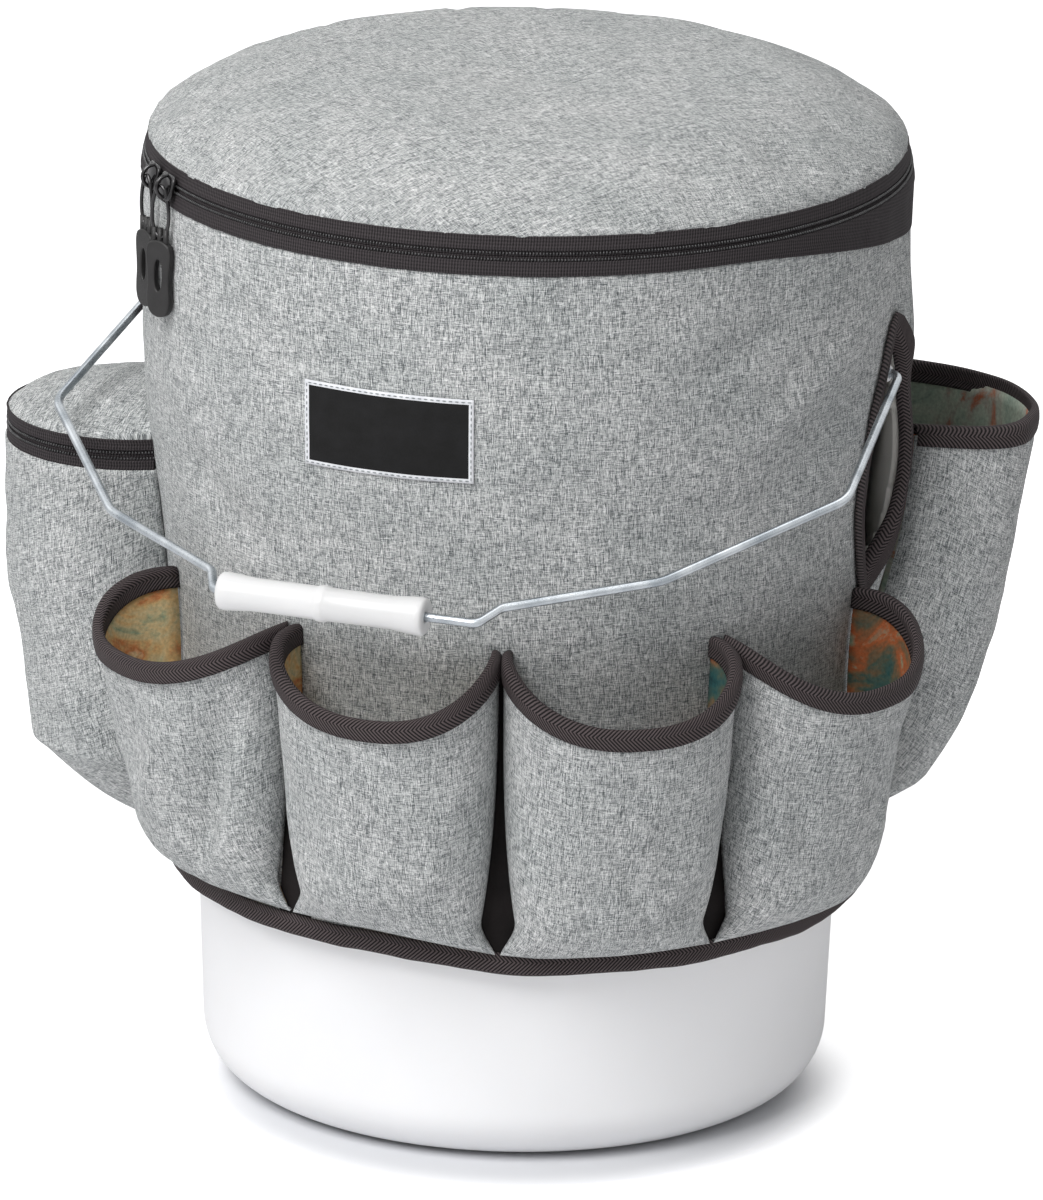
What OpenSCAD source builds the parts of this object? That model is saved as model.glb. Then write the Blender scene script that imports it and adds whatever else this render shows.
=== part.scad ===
// Insulated pail cover: a padded cloth sleeve with a zipped lid and pockets,
// worn by a pail with a wire handle.
// Millimetres, +Z up. The origin is the middle of the pail's base, and the front faces -Y.
// An azimuth is measured from the front towards +X, so 90 is the right side and 180 is the back.

/* [Pail] */
// Height of the pail to the top of its rim
pail_h = 378; // [340:1:420]
// Outer radius of the pail at its base
pail_base_r = 131; // [116:0.5:142]
// Outer radius of the pail wall at its top
pail_top_r = 145; // [142:0.5:145.5]
// Outer radius of the rolled rim
rim_r = 152.4; // [151.5:0.1:154]
// Height of the rolled rim
rim_h = 9; // [6:0.5:12]
// Thickness of the pail's wall and floor
pail_wall = 2.2; // [1.6:0.1:3]
// Radius of the rounded edge round the base
base_round = 24; // [14:1:30]
// Height of the handle's pivot, from the top of the pail's rim, below it where negative
pivot_z = -54; // [-60:1:-50]
// Radius of the moulded boss that holds the handle's end
ear_r = 9; // [6:0.5:10]

/* [Handle] */
// Radius of the handle wire
wire_r = 1.9; // [1.6:0.05:2.2]
// Distance from the pivot axis to the grip's axis
handle_reach = 212; // [208:1:220]
// Half-span of the wire at its widest bends
handle_span = 174; // [171:1:175]
// Angle by which the handle rests below the horizontal
handle_drop = 17; // [14:0.5:18]
// Length of the grip
grip_l = 94; // [84:1:100]
// How far the grip sits along its wire from the middle, to the left where negative
grip_slide = -7; // [-7:0.5:7]
// Radius of the grip's barrel
grip_r = 6.9; // [6:0.1:8]

/* [Sleeve] */
// Height of the sleeve's lower hem above the floor
hem_z = 89; // [82:1:94]
// Height of the bound hem
hem_h = 9; // [8.5:0.5:11]
// Outer radius of the sleeve below its waist
waist_r = 147; // [146:0.5:149]
// Height where the sleeve starts to widen, from the top of the pail's rim, below it where negative
waist_z = -188; // [-200:1:-170]
// Height where the sleeve reaches its full radius, from the top of the pail's rim, below it where negative
shoulder_z = -43; // [-60:1:-30]
// Thickness of the sleeve's outer cloth
shell_t = 3; // [2:0.1:3.4]
// Thickness of the sleeve's foam
foam_t = 4; // [3:0.1:4.4]
// Thickness of the flange that seats on the pail's rim
flange_t = 4; // [3:0.5:6]

/* [Lid and zip] */
// Height of the lid zip's coil, from the top of the pail's rim
coil_z = 23; // [20:0.5:30]
// Height of one half of a zip
tape_h = 7.5; // [6.5:0.5:9]
// Angle by which the lid zip leans inwards
zip_lean = 13; // [9:1:16]
// Angle from the front to either end of the lid zip
zip_half = 151; // [140:1:155]
// Height of the padded lid's crown above its seam
crown_h = 25; // [16:0.5:30]
// Azimuth of the rear slider
slider_b_az = -51.5; // [-58:0.5:-51]
// Azimuth of the front slider
slider_a_az = -45.5; // [-46:0.5:-38]
// Length of one pull from its hinge to its tip
pull_l = 55; // [46:1:57]

/* [Can pockets] */
// Azimuth of the first can pocket's left seam
can_start = -53.25; // [-53.5:0.25:-52.5]
// Angle that one can pocket takes up
can_pitch = 35.5; // [33:0.25:35.5]
// How far the mouth of a can pocket stands out
can_depth = 47; // [36:1:50]
// Height of a can pocket's mouth at its seams, from the top of the pail's rim, below it where negative
can_seam_z = -146; // [-156:1:-140]
// Height of a can pocket's mouth at its middle, from the top of the pail's rim, below it where negative
can_mouth_z = -169; // [-185:1:-165]

/* [Open side pocket] */
// Azimuth where the open side pocket starts
side_start = 102; // [102:0.5:105]
// Angle that the open side pocket takes up
side_sweep = 45; // [38:0.5:50]
// How far the mouth of the open side pocket stands out
side_depth = 60; // [48:1:64]
// Height of the open side pocket's mouth, from the top of the pail's rim, below it where negative
side_mouth_z = -91; // [-110:1:-90]
// Height of the open side pocket's lower end
side_base_z = 124; // [115:1:135]

/* [Zipped side pocket] */
// Distance of the zipped pocket's middle from the pail's axis, to the left
cup_out = 164; // [158:1:170]
// Distance of the zipped pocket's middle from the pail's axis, to the front
cup_front = 33; // [20:1:36]
// Radius of the zipped pocket at its zip
cup_r = 52; // [46:0.5:56]
// Radius of the zipped pocket near its floor
cup_foot_r = 38; // [32:1:46]
// Height of the zipped pocket's floor
cup_base_z = 117; // [112:1:130]
// Height of the zipped pocket's coil, from the top of the pail's rim, below it where negative
cup_coil_z = -104.5; // [-114:0.5:-103]
// Distance of the flap's fold line from the pail's axis
fold_out = 179; // [178:0.5:184]
// Height by which the top of the zipped pocket slopes up to the sleeve
top_rise = 8; // [5:0.5:9]

/* [Cloth and tape] */
// Thickness of the pocket cloth
cloth_t = 1.6; // [1.2:0.1:2]
// Thickness of the printed pocket lining
print_t = 0.8; // [0.6:0.1:1]
// Height of the tape that binds a pocket's mouth
bind_h = 10; // [8:0.5:11]
// How far a folded tape stands proud of the cloth that it binds
bind_proud = 0.9; // [0.6:0.1:1.2]

/* [Handle openings] */
// Azimuth of the right opening
slit_az = 92; // [91:0.5:92.5]
// Half the length of the right opening
slit_l = 54; // [48:1:56]
// Half the width of the right opening
slit_w = 17; // [15:0.5:19]
// Height of the middle of the right opening, from the top of the pail's rim, below it where negative
slit_z = -91; // [-94:1:-88]
// Half the length of the left opening
hole_l = 19; // [17:0.5:20]
// Half the width of the left opening
hole_w = 12; // [10:0.5:13]
// Width of the tape round the openings
slit_bind = 7; // [5:0.5:7.5]

/* [Label] */
// Width of the sewn label
label_w = 74; // [60:1:84]
// Height of the sewn label
label_h = 36; // [28:1:40]
// Height of the label's middle, from the top of the pail's rim, below it where negative
label_z = -55.5; // [-62:0.5:-50]
// Width of the label's stitched edge
label_edge = 3; // [2:0.5:4]

/* [Hidden] */
$fn = 96;

// Clearances: a running fit, a sewn seam and two edges that meet
run_gap = 0.08;
sew_gap = 0.3;
edge_gap = 0.2;

// Colours of the cloth, tape, metal and plastic
heather = "#8f9596";
black_tape = "#2a2829";
black_coil = "#1c1b1c";
print_cloth = "#c9a878";
foam = "#e9e4d8";
steel = "#b9bec2";
gunmetal = "#3a3a3c";
white_plastic = "#f1f1ef";

// Heights above the floor of what is placed from the rim
pivot_h = pail_h + pivot_z;
waist_h = pail_h + waist_z;
shoulder_h = pail_h + shoulder_z;
zip_h = pail_h + coil_z;
can_seam_h = pail_h + can_seam_z;
can_mouth_h = pail_h + can_mouth_z;
side_mouth_h = pail_h + side_mouth_z;
cup_zip_h = pail_h + cup_coil_z;
slit_h = pail_h + slit_z;
label_mid = pail_h + label_z;

// Heights and radii that follow from the sizes above
sleeve_t = shell_t + foam_t;
sleeve_top_r = rim_r + sew_gap + sleeve_t;
sleeve_base = hem_z + hem_h;
sleeve_top = zip_h - tape_h - edge_gap;
level_step = 12;
coil_half = 0.9;
coil_h = 1.5;
coil_t = 2.6;
tape_t = 1;
tape_start = coil_half + coil_h + edge_gap;
coil_r = sleeve_top_r - 0.7;

function ramp(t) = let (c = min(1, max(0, t))) c * c * (3 - 2 * c);
function unit(v) = v / norm(v);
function backwards(list) = [for (i = [len(list) - 1:-1:0]) list[i]];
function levels(low, high) =
    let (n = ceil((high - low) / level_step)) [for (i = [0:n]) low + (high - low) * i / n];
// Outer radius of the pail's wall at a height
function pail_r(z) = pail_base_r + (pail_top_r - pail_base_r) * z / pail_h;
// Outer radius of the sleeve at a height, which never lies inside the pail's wall
function sleeve_r(z) =
    max(pail_r(z) + sew_gap + sleeve_t,
        waist_r + (sleeve_top_r - waist_r) * ramp((z - waist_h) / (shoulder_h - waist_h)));
// Point at a radius on an azimuth
function at(az, r) = [r * sin(az), -r * cos(az)];
module towards(az) { rotate([0, 0, az - 90]) children(); }

// Profile between two depths under the sleeve's outer surface
module sleeve_profile(outer, inner, low, high) {
    z = levels(low, high);
    polygon(concat([for (h = z) [sleeve_r(h) - outer, h]],
                   [for (h = backwards(z)) [sleeve_r(h) - inner, h]]));
}
module sleeve_wall(outer, inner, low, high) {
    rotate_extrude() sleeve_profile(outer, inner, low, high);
}

// Openings for the handle: pointed ovals whose sides are arcs
tip_ratio = 1.4;
module almond(half_w, half_l) {
    arc = (half_l * half_l + half_w * half_w) / (2 * half_w);
    intersection() {
        translate([arc - half_w, 0]) circle(arc);
        translate([half_w - arc, 0]) circle(arc);
    }
}
module side_prism(az, z) {
    towards(az) translate([sleeve_top_r / 2, 0, z]) rotate([90, 0, 90])
        linear_extrude(sleeve_top_r) children();
}
module slit_cut(more) {
    side_prism(slit_az, slit_h) almond(slit_w + more, slit_l + tip_ratio * more);
}
module hole_cut(more) {
    side_prism(-90, pivot_h) almond(hole_w + more, hole_l + tip_ratio * more);
}
module sleeve_layer(outer, inner) {
    difference() {
        sleeve_wall(outer, inner, sleeve_base + edge_gap, sleeve_top);
        slit_cut(slit_bind + edge_gap);
        hole_cut(slit_bind + edge_gap);
    }
}
module sleeve_shell() { color(heather) sleeve_layer(0, shell_t); }
module sleeve_foam() { color(foam) sleeve_layer(shell_t, sleeve_t); }
// Ring inside the sleeve that seats on the pail's rim and carries the cover
module rim_flange() {
    r_out = sleeve_r(pail_h) - sleeve_t - edge_gap;
    width = 2 * (rim_r - pail_top_r);
    color(foam) translate([0, 0, pail_h + edge_gap]) rotate_extrude()
        translate([r_out - width, 0]) square([width, flange_t]);
}
// Tape folded round the edge of an opening
module opening_tape(z) {
    reach = slit_l + slit_bind * (1 + tip_ratio);
    intersection() {
        sleeve_wall(-bind_proud, sleeve_t, z - reach, sleeve_top);
        children();
    }
}
module slit_binding_right() {
    color(black_tape) opening_tape(slit_h) difference() {
        slit_cut(slit_bind);
        slit_cut(0);
    }
}
module slit_binding_left() {
    color(black_tape) opening_tape(pivot_h) difference() {
        hole_cut(slit_bind);
        hole_cut(0);
    }
}
module hem_binding() {
    r_out = sleeve_r(sleeve_base) + bind_proud;
    width = sleeve_t + bind_proud;
    color(black_tape) rotate_extrude() {
        translate([r_out - width, hem_z + width / 2]) square([width, hem_h - width / 2]);
        translate([r_out - width / 2, hem_z + width / 2]) circle(width / 2);
    }
}
// Label sewn to the sleeve, with a raised edge round a bare field
label_t = 0.6;
module label_sheet(w, h, thick) {
    half = w / 2 / sleeve_r(label_mid) * 180 / PI;
    towards(-half) rotate_extrude(angle = 2 * half)
        sleeve_profile(-sew_gap - thick, -sew_gap, label_mid - h / 2, label_mid + h / 2);
}
module label_patch() {
    color(black_tape) union() {
        label_sheet(label_w, label_h, label_t);
        difference() {
            label_sheet(label_w, label_h, 2 * label_t);
            label_sheet(label_w - 2 * label_edge, label_h - 2 * label_edge, 3 * label_t);
        }
    }
}

// Pail with its rolled rim, two stiffening rings and the ears that hold the handle
ear_end = sleeve_r(pivot_h) - sleeve_t - 2;
ear_bore_start = pail_r(pivot_h) + 1.5;
ring_low = pivot_h + ear_r + 4;
ring_high = ring_low + 16;
module pail_half(inset, top) {
    polygon(concat([[0, inset]],
                   [for (a = [-90:10:0])
                       [pail_r(base_round) - base_round + (base_round - inset) * cos(a),
                        base_round + (base_round - inset) * sin(a)]],
                   [[pail_r(top) - inset, top], [0, top]]));
}
module pail_ring(z, r, h) {
    translate([pail_r(z) - pail_wall / 2, z]) square([r - pail_r(z) + pail_wall / 2, h]);
}
module pail_body() {
    rotate_extrude() union() {
        difference() {
            pail_half(0, pail_h);
            pail_half(pail_wall, pail_h + 1);
        }
        pail_ring(pail_h - rim_h, rim_r, rim_h);
        pail_ring(ring_low, ear_end, pail_wall);
        pail_ring(ring_high, ear_end, pail_wall);
    }
}
module ear_pair(r, from, to) {
    for (az = [-90, 90])
        towards(az) translate([from, 0, pivot_h]) rotate([0, 90, 0]) cylinder(r = r, h = to - from);
}
module bucket() {
    color(white_plastic) difference() {
        union() {
            pail_body();
            ear_pair(ear_r, pail_r(pivot_h) - pail_wall / 2, ear_end);
        }
        ear_pair(pin_r + run_gap, ear_bore_start, ear_end + 1);
    }
}

// Wire bent in one plane, as straights between round bends
function turn(a, b) = atan2(a.x * b.y - a.y * b.x, a * b);
function heading(a, b) = atan2(b.y - a.y, b.x - a.x);
function bend_take(p, radii, i) = radii[i] == 0 ? 0
    : radii[i] * tan(abs(turn(p[i] - p[i - 1], p[i + 1] - p[i])) / 2);
module wire_straight(a, b, r) {
    translate(a) rotate([0, 0, heading(a, b)]) rotate([0, 90, 0]) cylinder(r = r, h = norm(b - a));
}
module wire_bend(p, radii, i, r) {
    first = unit(p[i] - p[i - 1]);
    angle = turn(p[i] - p[i - 1], p[i + 1] - p[i]);
    side = sign(angle) * [-first.y, first.x];
    centre = p[i] - first * bend_take(p, radii, i) + side * radii[i];
    start = atan2(-side.y, -side.x);
    translate(centre) rotate([0, 0, min(start, start + angle)])
        rotate_extrude(angle = abs(angle)) translate([radii[i], 0]) circle(r);
}
module bent_wire(p, radii, r) {
    last = len(p) - 1;
    for (i = [1:last]) {
        way = unit(p[i] - p[i - 1]);
        wire_straight(p[i - 1] + way * bend_take(p, radii, i - 1), p[i] - way * bend_take(p, radii, i), r);
    }
    for (i = [1:last - 1]) wire_bend(p, radii, i, r);
}
// Stations [point, heading] along a bent wire, for a swept tube
bend_steps = 5;
function bend_stations(p, radii, i) =
    let (first = unit(p[i] - p[i - 1]), angle = turn(p[i] - p[i - 1], p[i + 1] - p[i]),
         side = sign(angle) * [-first.y, first.x],
         centre = p[i] - first * bend_take(p, radii, i) + side * radii[i],
         start = atan2(-side.y, -side.x))
    [for (k = [0:bend_steps]) let (a = angle * k / bend_steps)
        [centre + radii[i] * [cos(start + a), sin(start + a)], heading(p[i - 1], p[i]) + a]];
function wire_stations(p, radii) =
    let (last = len(p) - 1)
    concat([[p[0], heading(p[0], p[1])]],
           [for (i = [1:last - 1], s = bend_stations(p, radii, i)) s],
           [[p[last], heading(p[last - 1], p[last])]]);
tube_sides = 14;
module swept_wire(stations, r) {
    m = len(stations);
    n = tube_sides;
    points = [for (s = stations, j = [0:n - 1]) let (a = 360 * j / n)
        [s[0].x - r * cos(a) * sin(s[1]), s[0].y + r * cos(a) * cos(s[1]), r * sin(a)]];
    wall = [for (i = [0:m - 2], j = [0:n - 1], f = quad(i * n + j, (i + 1) * n + j,
        (i + 1) * n + (j + 1) % n, i * n + (j + 1) % n)) f];
    first_cap = [for (j = [0:n - 1]) j];
    last_cap = [for (j = [n - 1:-1:0]) (m - 1) * n + j];
    polyhedron(points, concat(wall, [first_cap, last_cap]));
}

// Handle drawn flat: x along the pivot axis and y away from it
wire_out = sleeve_r(pivot_h) + bind_proud + wire_r + 2.7;
elbow = [handle_span, 94];
shoulder = [handle_span - 54, handle_reach - 45];
kink = [grip_l / 2 + 16, handle_reach - 13];
wire_half = [[ear_bore_start + 2 * edge_gap, 0], [wire_out, 0], elbow, shoulder, kink,
             [grip_l / 2 + 10, handle_reach]];
half_bends = [0, 5, 16, 16, 6, 4];
wire_path = concat(wire_half, [for (p = backwards(wire_half)) [-p.x, p.y]]);
wire_bends = concat(half_bends, backwards(half_bends));
module in_handle_plane() {
    translate([0, 0, pivot_h]) rotate([180 + handle_drop, 0, 0]) children();
}
// The ends are dressed round where they turn in the ears
pin_r = wire_r + 0.15;
pin_l = ear_end - ear_bore_start + 2;
module handle_wire() {
    color(steel) in_handle_plane() {
        swept_wire(wire_stations(wire_path, wire_bends), wire_r);
        for (side = [-1, 1]) translate([side * (ear_bore_start + edge_gap) - (side < 0 ? pin_l : 0), 0, 0])
            rotate([0, 90, 0]) cylinder(r = pin_r, h = pin_l);
    }
}
// Grip with flared ends and a bead round its middle
module handle_grip() {
    half = grip_l / 2;
    flare = 1;
    bead = 0.6;
    bead_half = 1.6;
    outline = [[0, 0], [grip_r + bead, 0], [grip_r + bead, bead_half], [grip_r, bead_half + bead],
               [grip_r, half - 12], [grip_r + flare, half - 3], [grip_r + flare, half], [0, half]];
    color(white_plastic) in_handle_plane() translate([grip_slide, handle_reach, 0]) rotate([0, 90, 0])
        difference() {
            union() {
                rotate_extrude() polygon(outline);
                mirror([0, 0, 1]) rotate_extrude() polygon(outline);
            }
            cylinder(r = wire_r + run_gap, h = 2 * grip_l, center = true);
        }
}

// A zip is [middle x, middle y, coil radius, coil height, lean]
lid_zip = [0, 0, coil_r, zip_h, zip_lean];
cup_zip = [-cup_out, -cup_front, cup_r - tape_t / 2, cup_zip_h, 0];
// Radius of a zip's middle surface, h above its coil
function zip_r(zip, h) = zip[2] - h * tan(zip[4]);
module zip_band(zip, low, high, thick, start, sweep) {
    translate([zip[0], zip[1], zip[3]]) rotate([0, 0, start]) rotate_extrude(angle = sweep)
        polygon([[zip_r(zip, low) - thick / 2, low], [zip_r(zip, low) + thick / 2, low],
                 [zip_r(zip, high) + thick / 2, high], [zip_r(zip, high) - thick / 2, high]]);
}
lid_zip_start = -zip_half - 90;
lid_zip_sweep = 2 * zip_half;
module lid_band(low, high, thick) { zip_band(lid_zip, low, high, thick, lid_zip_start, lid_zip_sweep); }
module zip_tape_lower() { color(black_tape) lid_band(-tape_h, -tape_start, tape_t); }
module zip_tape_upper() { color(black_tape) lid_band(tape_start, tape_h, tape_t); }
module zip_coil_lower() { color(black_coil) lid_band(-coil_half - coil_h, -coil_half, coil_t); }
module zip_coil_upper() { color(black_coil) lid_band(coil_half, coil_half + coil_h, coil_t); }
// Cloth hinge that carries on round the back where the zip stops
hinge_trim = 0.4;
module hinge_band(low, high) {
    zip_band(lid_zip, low, high, tape_t, zip_half - 90 + hinge_trim, 360 - lid_zip_sweep - 2 * hinge_trim);
}
module hinge_strip_lower() { color(black_tape) hinge_band(-tape_h, -edge_gap); }
module hinge_strip_upper() { color(black_tape) hinge_band(edge_gap, tape_h); }

// Padded lid, crowned and drawn in at its seam
seam_z = zip_h + tape_h + edge_gap;
lid_r = zip_r(lid_zip, tape_h) + tape_t / 2;
lid_cloth_t = 1.5;
lid_pad_r = lid_r - 6;
lid_floor = zip_h + 2;
lid_lining_t = 1;
crown_power = 5;
crown_rings = 18;
function crown_z(r) = seam_z + crown_h * sqrt(max(0, 1 - pow(r / lid_r, crown_power)));
function crown_curve(r, drop) =
    [for (i = [0:crown_rings]) let (q = r * sin(90 * i / crown_rings)) [q, crown_z(q) - drop]];
module lid_cover() {
    color(heather) rotate_extrude()
        polygon(concat(crown_curve(lid_r, 0), [[lid_r - lid_cloth_t, seam_z]],
                       backwards(crown_curve(lid_r - lid_cloth_t, lid_cloth_t))));
}
module lid_foam() {
    top = crown_curve(lid_pad_r, lid_cloth_t + sew_gap);
    color(foam) rotate_extrude() polygon(concat([[0, lid_floor], [lid_pad_r, lid_floor]], backwards(top)));
}
module lid_lining() {
    color(foam) translate([0, 0, lid_floor - edge_gap - lid_lining_t])
        cylinder(r = lid_pad_r, h = lid_lining_t);
}

// Sliders and pulls: x outwards, y along the zip and z across it
plate_l = 13;
plate_w = 11;
plate_t = 1.3;
plate_round = 2.6;
plate_gap = coil_t / 2 + 0.6;
web_l = 4;
arch_r = 4.8;
arch_wire = 0.8;
link_wire = 0.8;
link_l = 22;
link_w = 9;
link_bend = 1.6;
// The link hangs plumb, clear of the lower edge of a plate that leans
link_out = plate_gap + plate_t + link_wire + sew_gap + plate_w / 2 * tan(zip_lean);
module on_zip(zip, az) {
    translate([zip[0], zip[1], zip[3]]) towards(az) translate([zip[2], 0, 0])
        rotate([0, -zip[4], 0]) children();
}
module rounded_plate(l, w, r) {
    square([l - 2 * r, w], center = true);
    square([l, w - 2 * r], center = true);
    for (x = [-1, 1], y = [-1, 1]) translate([x * (l / 2 - r), y * (w / 2 - r)]) circle(r);
}
module upright_plate(x, thick) { translate([x, 0, 0]) rotate([90, 0, 90]) linear_extrude(thick) children(); }
module zip_slider(zip, az) {
    web = (coil_half - edge_gap) * cos(zip[4]) - coil_t / 2 * sin(zip[4]);
    color(gunmetal) on_zip(zip, az) {
        upright_plate(plate_gap, plate_t) rounded_plate(plate_l, plate_w, plate_round);
        upright_plate(-plate_gap - plate_t, plate_t) rounded_plate(plate_l, plate_w, plate_round);
        translate([-plate_gap - plate_t / 2, -web_l / 2, -web])
            cube([2 * plate_gap + plate_t, web_l, 2 * web]);
        translate([plate_gap + plate_t / 2, 0, 0]) rotate([90, 0, 0]) rotate([0, 0, -90])
            rotate_extrude(angle = 180) translate([arch_r, 0]) circle(arch_wire);
    }
}
// A pull hangs plumb from its slider's arch
module on_arch(zip, az) { on_zip(zip, az) translate([link_out, 0, 0]) rotate([0, zip[4], 0]) children(); }
link_path = [[0, 0], [link_w / 2, 0], [link_w / 2, -link_l],
             [-link_w / 2, -link_l], [-link_w / 2, 0], [0, 0]];
link_bends = [0, link_bend, link_bend, link_bend, link_bend, 0];
module link_loop(r) { rotate([90, 0, 90]) bent_wire(link_path, link_bends, r); }
module pull_link(zip, az) { color(gunmetal) on_arch(zip, az) link_loop(link_wire); }
// Moulded tab with a finger hole, whose tongue holds the foot of its link
tab_w = 11.5;
tab_t = 3.4;
tab_round = 4.4;
tongue_w = link_w - 2 * link_bend - 2 * edge_gap;
tongue_rise = 4;
tab_top = link_l + link_wire + 1;
tab_hole_l = 12;
tab_hole_w = 4;
tab_hole_round = 1.9;
module pull_tab(zip, az) {
    middle = (tab_top + pull_l) / 2;
    color(black_coil) on_arch(zip, az) difference() {
        upright_plate(-tab_t / 2, tab_t) union() {
            translate([0, -middle]) rounded_plate(tab_w, pull_l - tab_top, tab_round);
            translate([-tongue_w / 2, -tab_top - tab_round])
                square([tongue_w, tab_round + tab_top - link_l + tongue_rise]);
        }
        upright_plate(-tab_t, 2 * tab_t) translate([0, -middle - tab_round])
            rounded_plate(tab_hole_w, tab_hole_l, tab_hole_round);
        translate([0, -tab_w, -link_l]) rotate([-90, 0, 0]) cylinder(r = link_wire + run_gap, h = 2 * tab_w);
    }
}
module slider_a() { zip_slider(lid_zip, slider_a_az); }
module slider_b() { zip_slider(lid_zip, slider_b_az); }
module link_a() { pull_link(lid_zip, slider_a_az); }
module link_b() { pull_link(lid_zip, slider_b_az); }
module tab_a() { pull_tab(lid_zip, slider_a_az); }
module tab_b() { pull_tab(lid_zip, slider_b_az); }

// Pockets of one cloth and one printed lining, sewn to the sleeve along both sides and at the foot.
// A pocket is [start azimuth, sweep, depth, foot depth, foot height, seam height, mouth height,
// squareness, skew, share of the depth that its toe gives, pinch of the foot in degrees,
// sharpness of the toe]
pocket_t = cloth_t + edge_gap + print_t;
cans = [for (i = [0:3])
    [can_start + i * can_pitch, can_pitch, can_depth, 4, sleeve_base + edge_gap, can_seam_h, can_mouth_h,
     3, 1, 0.45, 2.6, 12]];
open_side = [side_start, side_sweep, side_depth, 14, side_base_z, side_mouth_h, side_mouth_h,
             2, 0.49, 1, 0, 2.4];
columns = 18;
rows = 7;
edge_trim = 0.35;
function skewed(p, u) = pow(u, p[8]);
function section(p, u) = pow(max(0, 1 - pow(abs(2 * skewed(p, u) - 1), p[7])), 1 / p[7]);
function mouth(p, u) = p[6] + (p[5] - p[6]) * pow(abs(2 * skewed(p, u) - 1), 3);
function depth_at(p, v) = p[3] + (p[2] - p[3]) * (p[9] * (1 - pow(1 - v, p[11])) + (1 - p[9]) * v);
// Point at an inset under the pocket's outer surface: u across, v up, at height z
function pocket_point(p, u, v, z, inset) =
    let (trim = edge_trim + p[10] * pow(1 - v, 3) + inset / waist_r * 180 / PI,
         r = sleeve_r(z) + sew_gap + max(0, pocket_t - inset) + (depth_at(p, v) - pocket_t) * section(p, u),
         q = at(p[0] + trim + u * (p[1] - 2 * trim), r))
    [q.x, q.y, z];
// Columns lie closest at the seams, where the cloth turns
function spread(i) = 0.5 - 0.5 * cos(180 * i / columns);
function cloth_grid(p, inset) =
    [for (i = [0:columns]) let (u = spread(i), top = mouth(p, u) - bind_h - edge_gap)
        [for (j = [0:rows]) let (v = pow(j / rows, 1.5))
            pocket_point(p, u, v, p[4] + v * (top - p[4]), inset)]];
function tape_grid(p, inset) =
    [for (i = [0:columns]) let (u = spread(i), top = mouth(p, u))
        [for (z = [top - bind_h, top]) pocket_point(p, u, 1, z, inset)]];
// Closed skin round two grids of points that face each other
function quad(a, b, c, d) = [[a, b, c], [a, c, d]];
module two_skins(outer, inner) {
    m = len(outer);
    n = len(outer[0]);
    function id(side, i, j) = side * m * n + i * n + j;
    points = concat([for (line = outer, q = line) q], [for (line = inner, q = line) q]);
    faces = [for (i = [0:m - 2], j = [0:n - 2], f = concat(
        quad(id(0, i, j), id(0, i, j + 1), id(0, i + 1, j + 1), id(0, i + 1, j)),
        quad(id(1, i, j), id(1, i + 1, j), id(1, i + 1, j + 1), id(1, i, j + 1)))) f];
    ends = [for (i = [0:m - 2], f = concat(
        quad(id(0, i, 0), id(0, i + 1, 0), id(1, i + 1, 0), id(1, i, 0)),
        quad(id(0, i, n - 1), id(1, i, n - 1), id(1, i + 1, n - 1), id(0, i + 1, n - 1)))) f];
    sides = [for (j = [0:n - 2], f = concat(
        quad(id(0, 0, j), id(1, 0, j), id(1, 0, j + 1), id(0, 0, j + 1)),
        quad(id(0, m - 1, j), id(0, m - 1, j + 1), id(1, m - 1, j + 1), id(1, m - 1, j)))) f];
    polyhedron(points, concat(faces, ends, sides));
}
module pocket_cloth(p) { color(heather) two_skins(cloth_grid(p, 0), cloth_grid(p, cloth_t)); }
module pocket_lining(p) {
    color(print_cloth) two_skins(cloth_grid(p, cloth_t + edge_gap), cloth_grid(p, pocket_t));
}
module pocket_tape(p) { color(black_tape) two_skins(tape_grid(p, -bind_proud), tape_grid(p, pocket_t)); }
module can_pocket_1() { pocket_cloth(cans[0]); }
module can_pocket_2() { pocket_cloth(cans[1]); }
module can_pocket_3() { pocket_cloth(cans[2]); }
module can_pocket_4() { pocket_cloth(cans[3]); }
module can_lining_1() { pocket_lining(cans[0]); }
module can_lining_2() { pocket_lining(cans[1]); }
module can_lining_3() { pocket_lining(cans[2]); }
module can_lining_4() { pocket_lining(cans[3]); }
module can_binding_1() { pocket_tape(cans[0]); }
module can_binding_2() { pocket_tape(cans[1]); }
module can_binding_3() { pocket_tape(cans[2]); }
module can_binding_4() { pocket_tape(cans[3]); }
module side_pocket() { pocket_cloth(open_side); }
module side_lining() { pocket_lining(open_side); }
module side_binding() { pocket_tape(open_side); }

// Zipped pocket: a cup that leans out to its zip, a fixed yoke, and a flap that folds up from it
cup_top = cup_zip_h - tape_h - edge_gap;
top_low = cup_zip_h + tape_h + edge_gap;
top_t = 3;
foot_round = 14;
fold_gap = 0.2;
module cup_place() { translate([-cup_out, -cup_front, 0]) children(); }
module off_sleeve() {
    difference() {
        children();
        sleeve_wall(-sew_gap, 2 * cup_r, cup_base_z - 2 * foot_round, top_low + 3 * top_rise);
    }
}
module cup_half(inset) {
    polygon(concat([[0, cup_base_z + inset]],
                   [for (a = [-90:15:0])
                       [cup_foot_r - foot_round + (foot_round - inset) * cos(a),
                        cup_base_z + foot_round + (foot_round - inset) * sin(a)]],
                   [[cup_r - inset, cup_top], [0, cup_top]]));
}
module cup_solid(inset) { cup_place() rotate_extrude() cup_half(inset); }
module zipped_pocket() {
    color(heather) off_sleeve() difference() {
        cup_solid(0);
        translate([0, 0, edge_gap]) cup_solid(cloth_t);
        cup_place() translate([0, 0, cup_top - edge_gap]) cylinder(r = cup_r - cloth_t, h = 1);
    }
}
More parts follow.
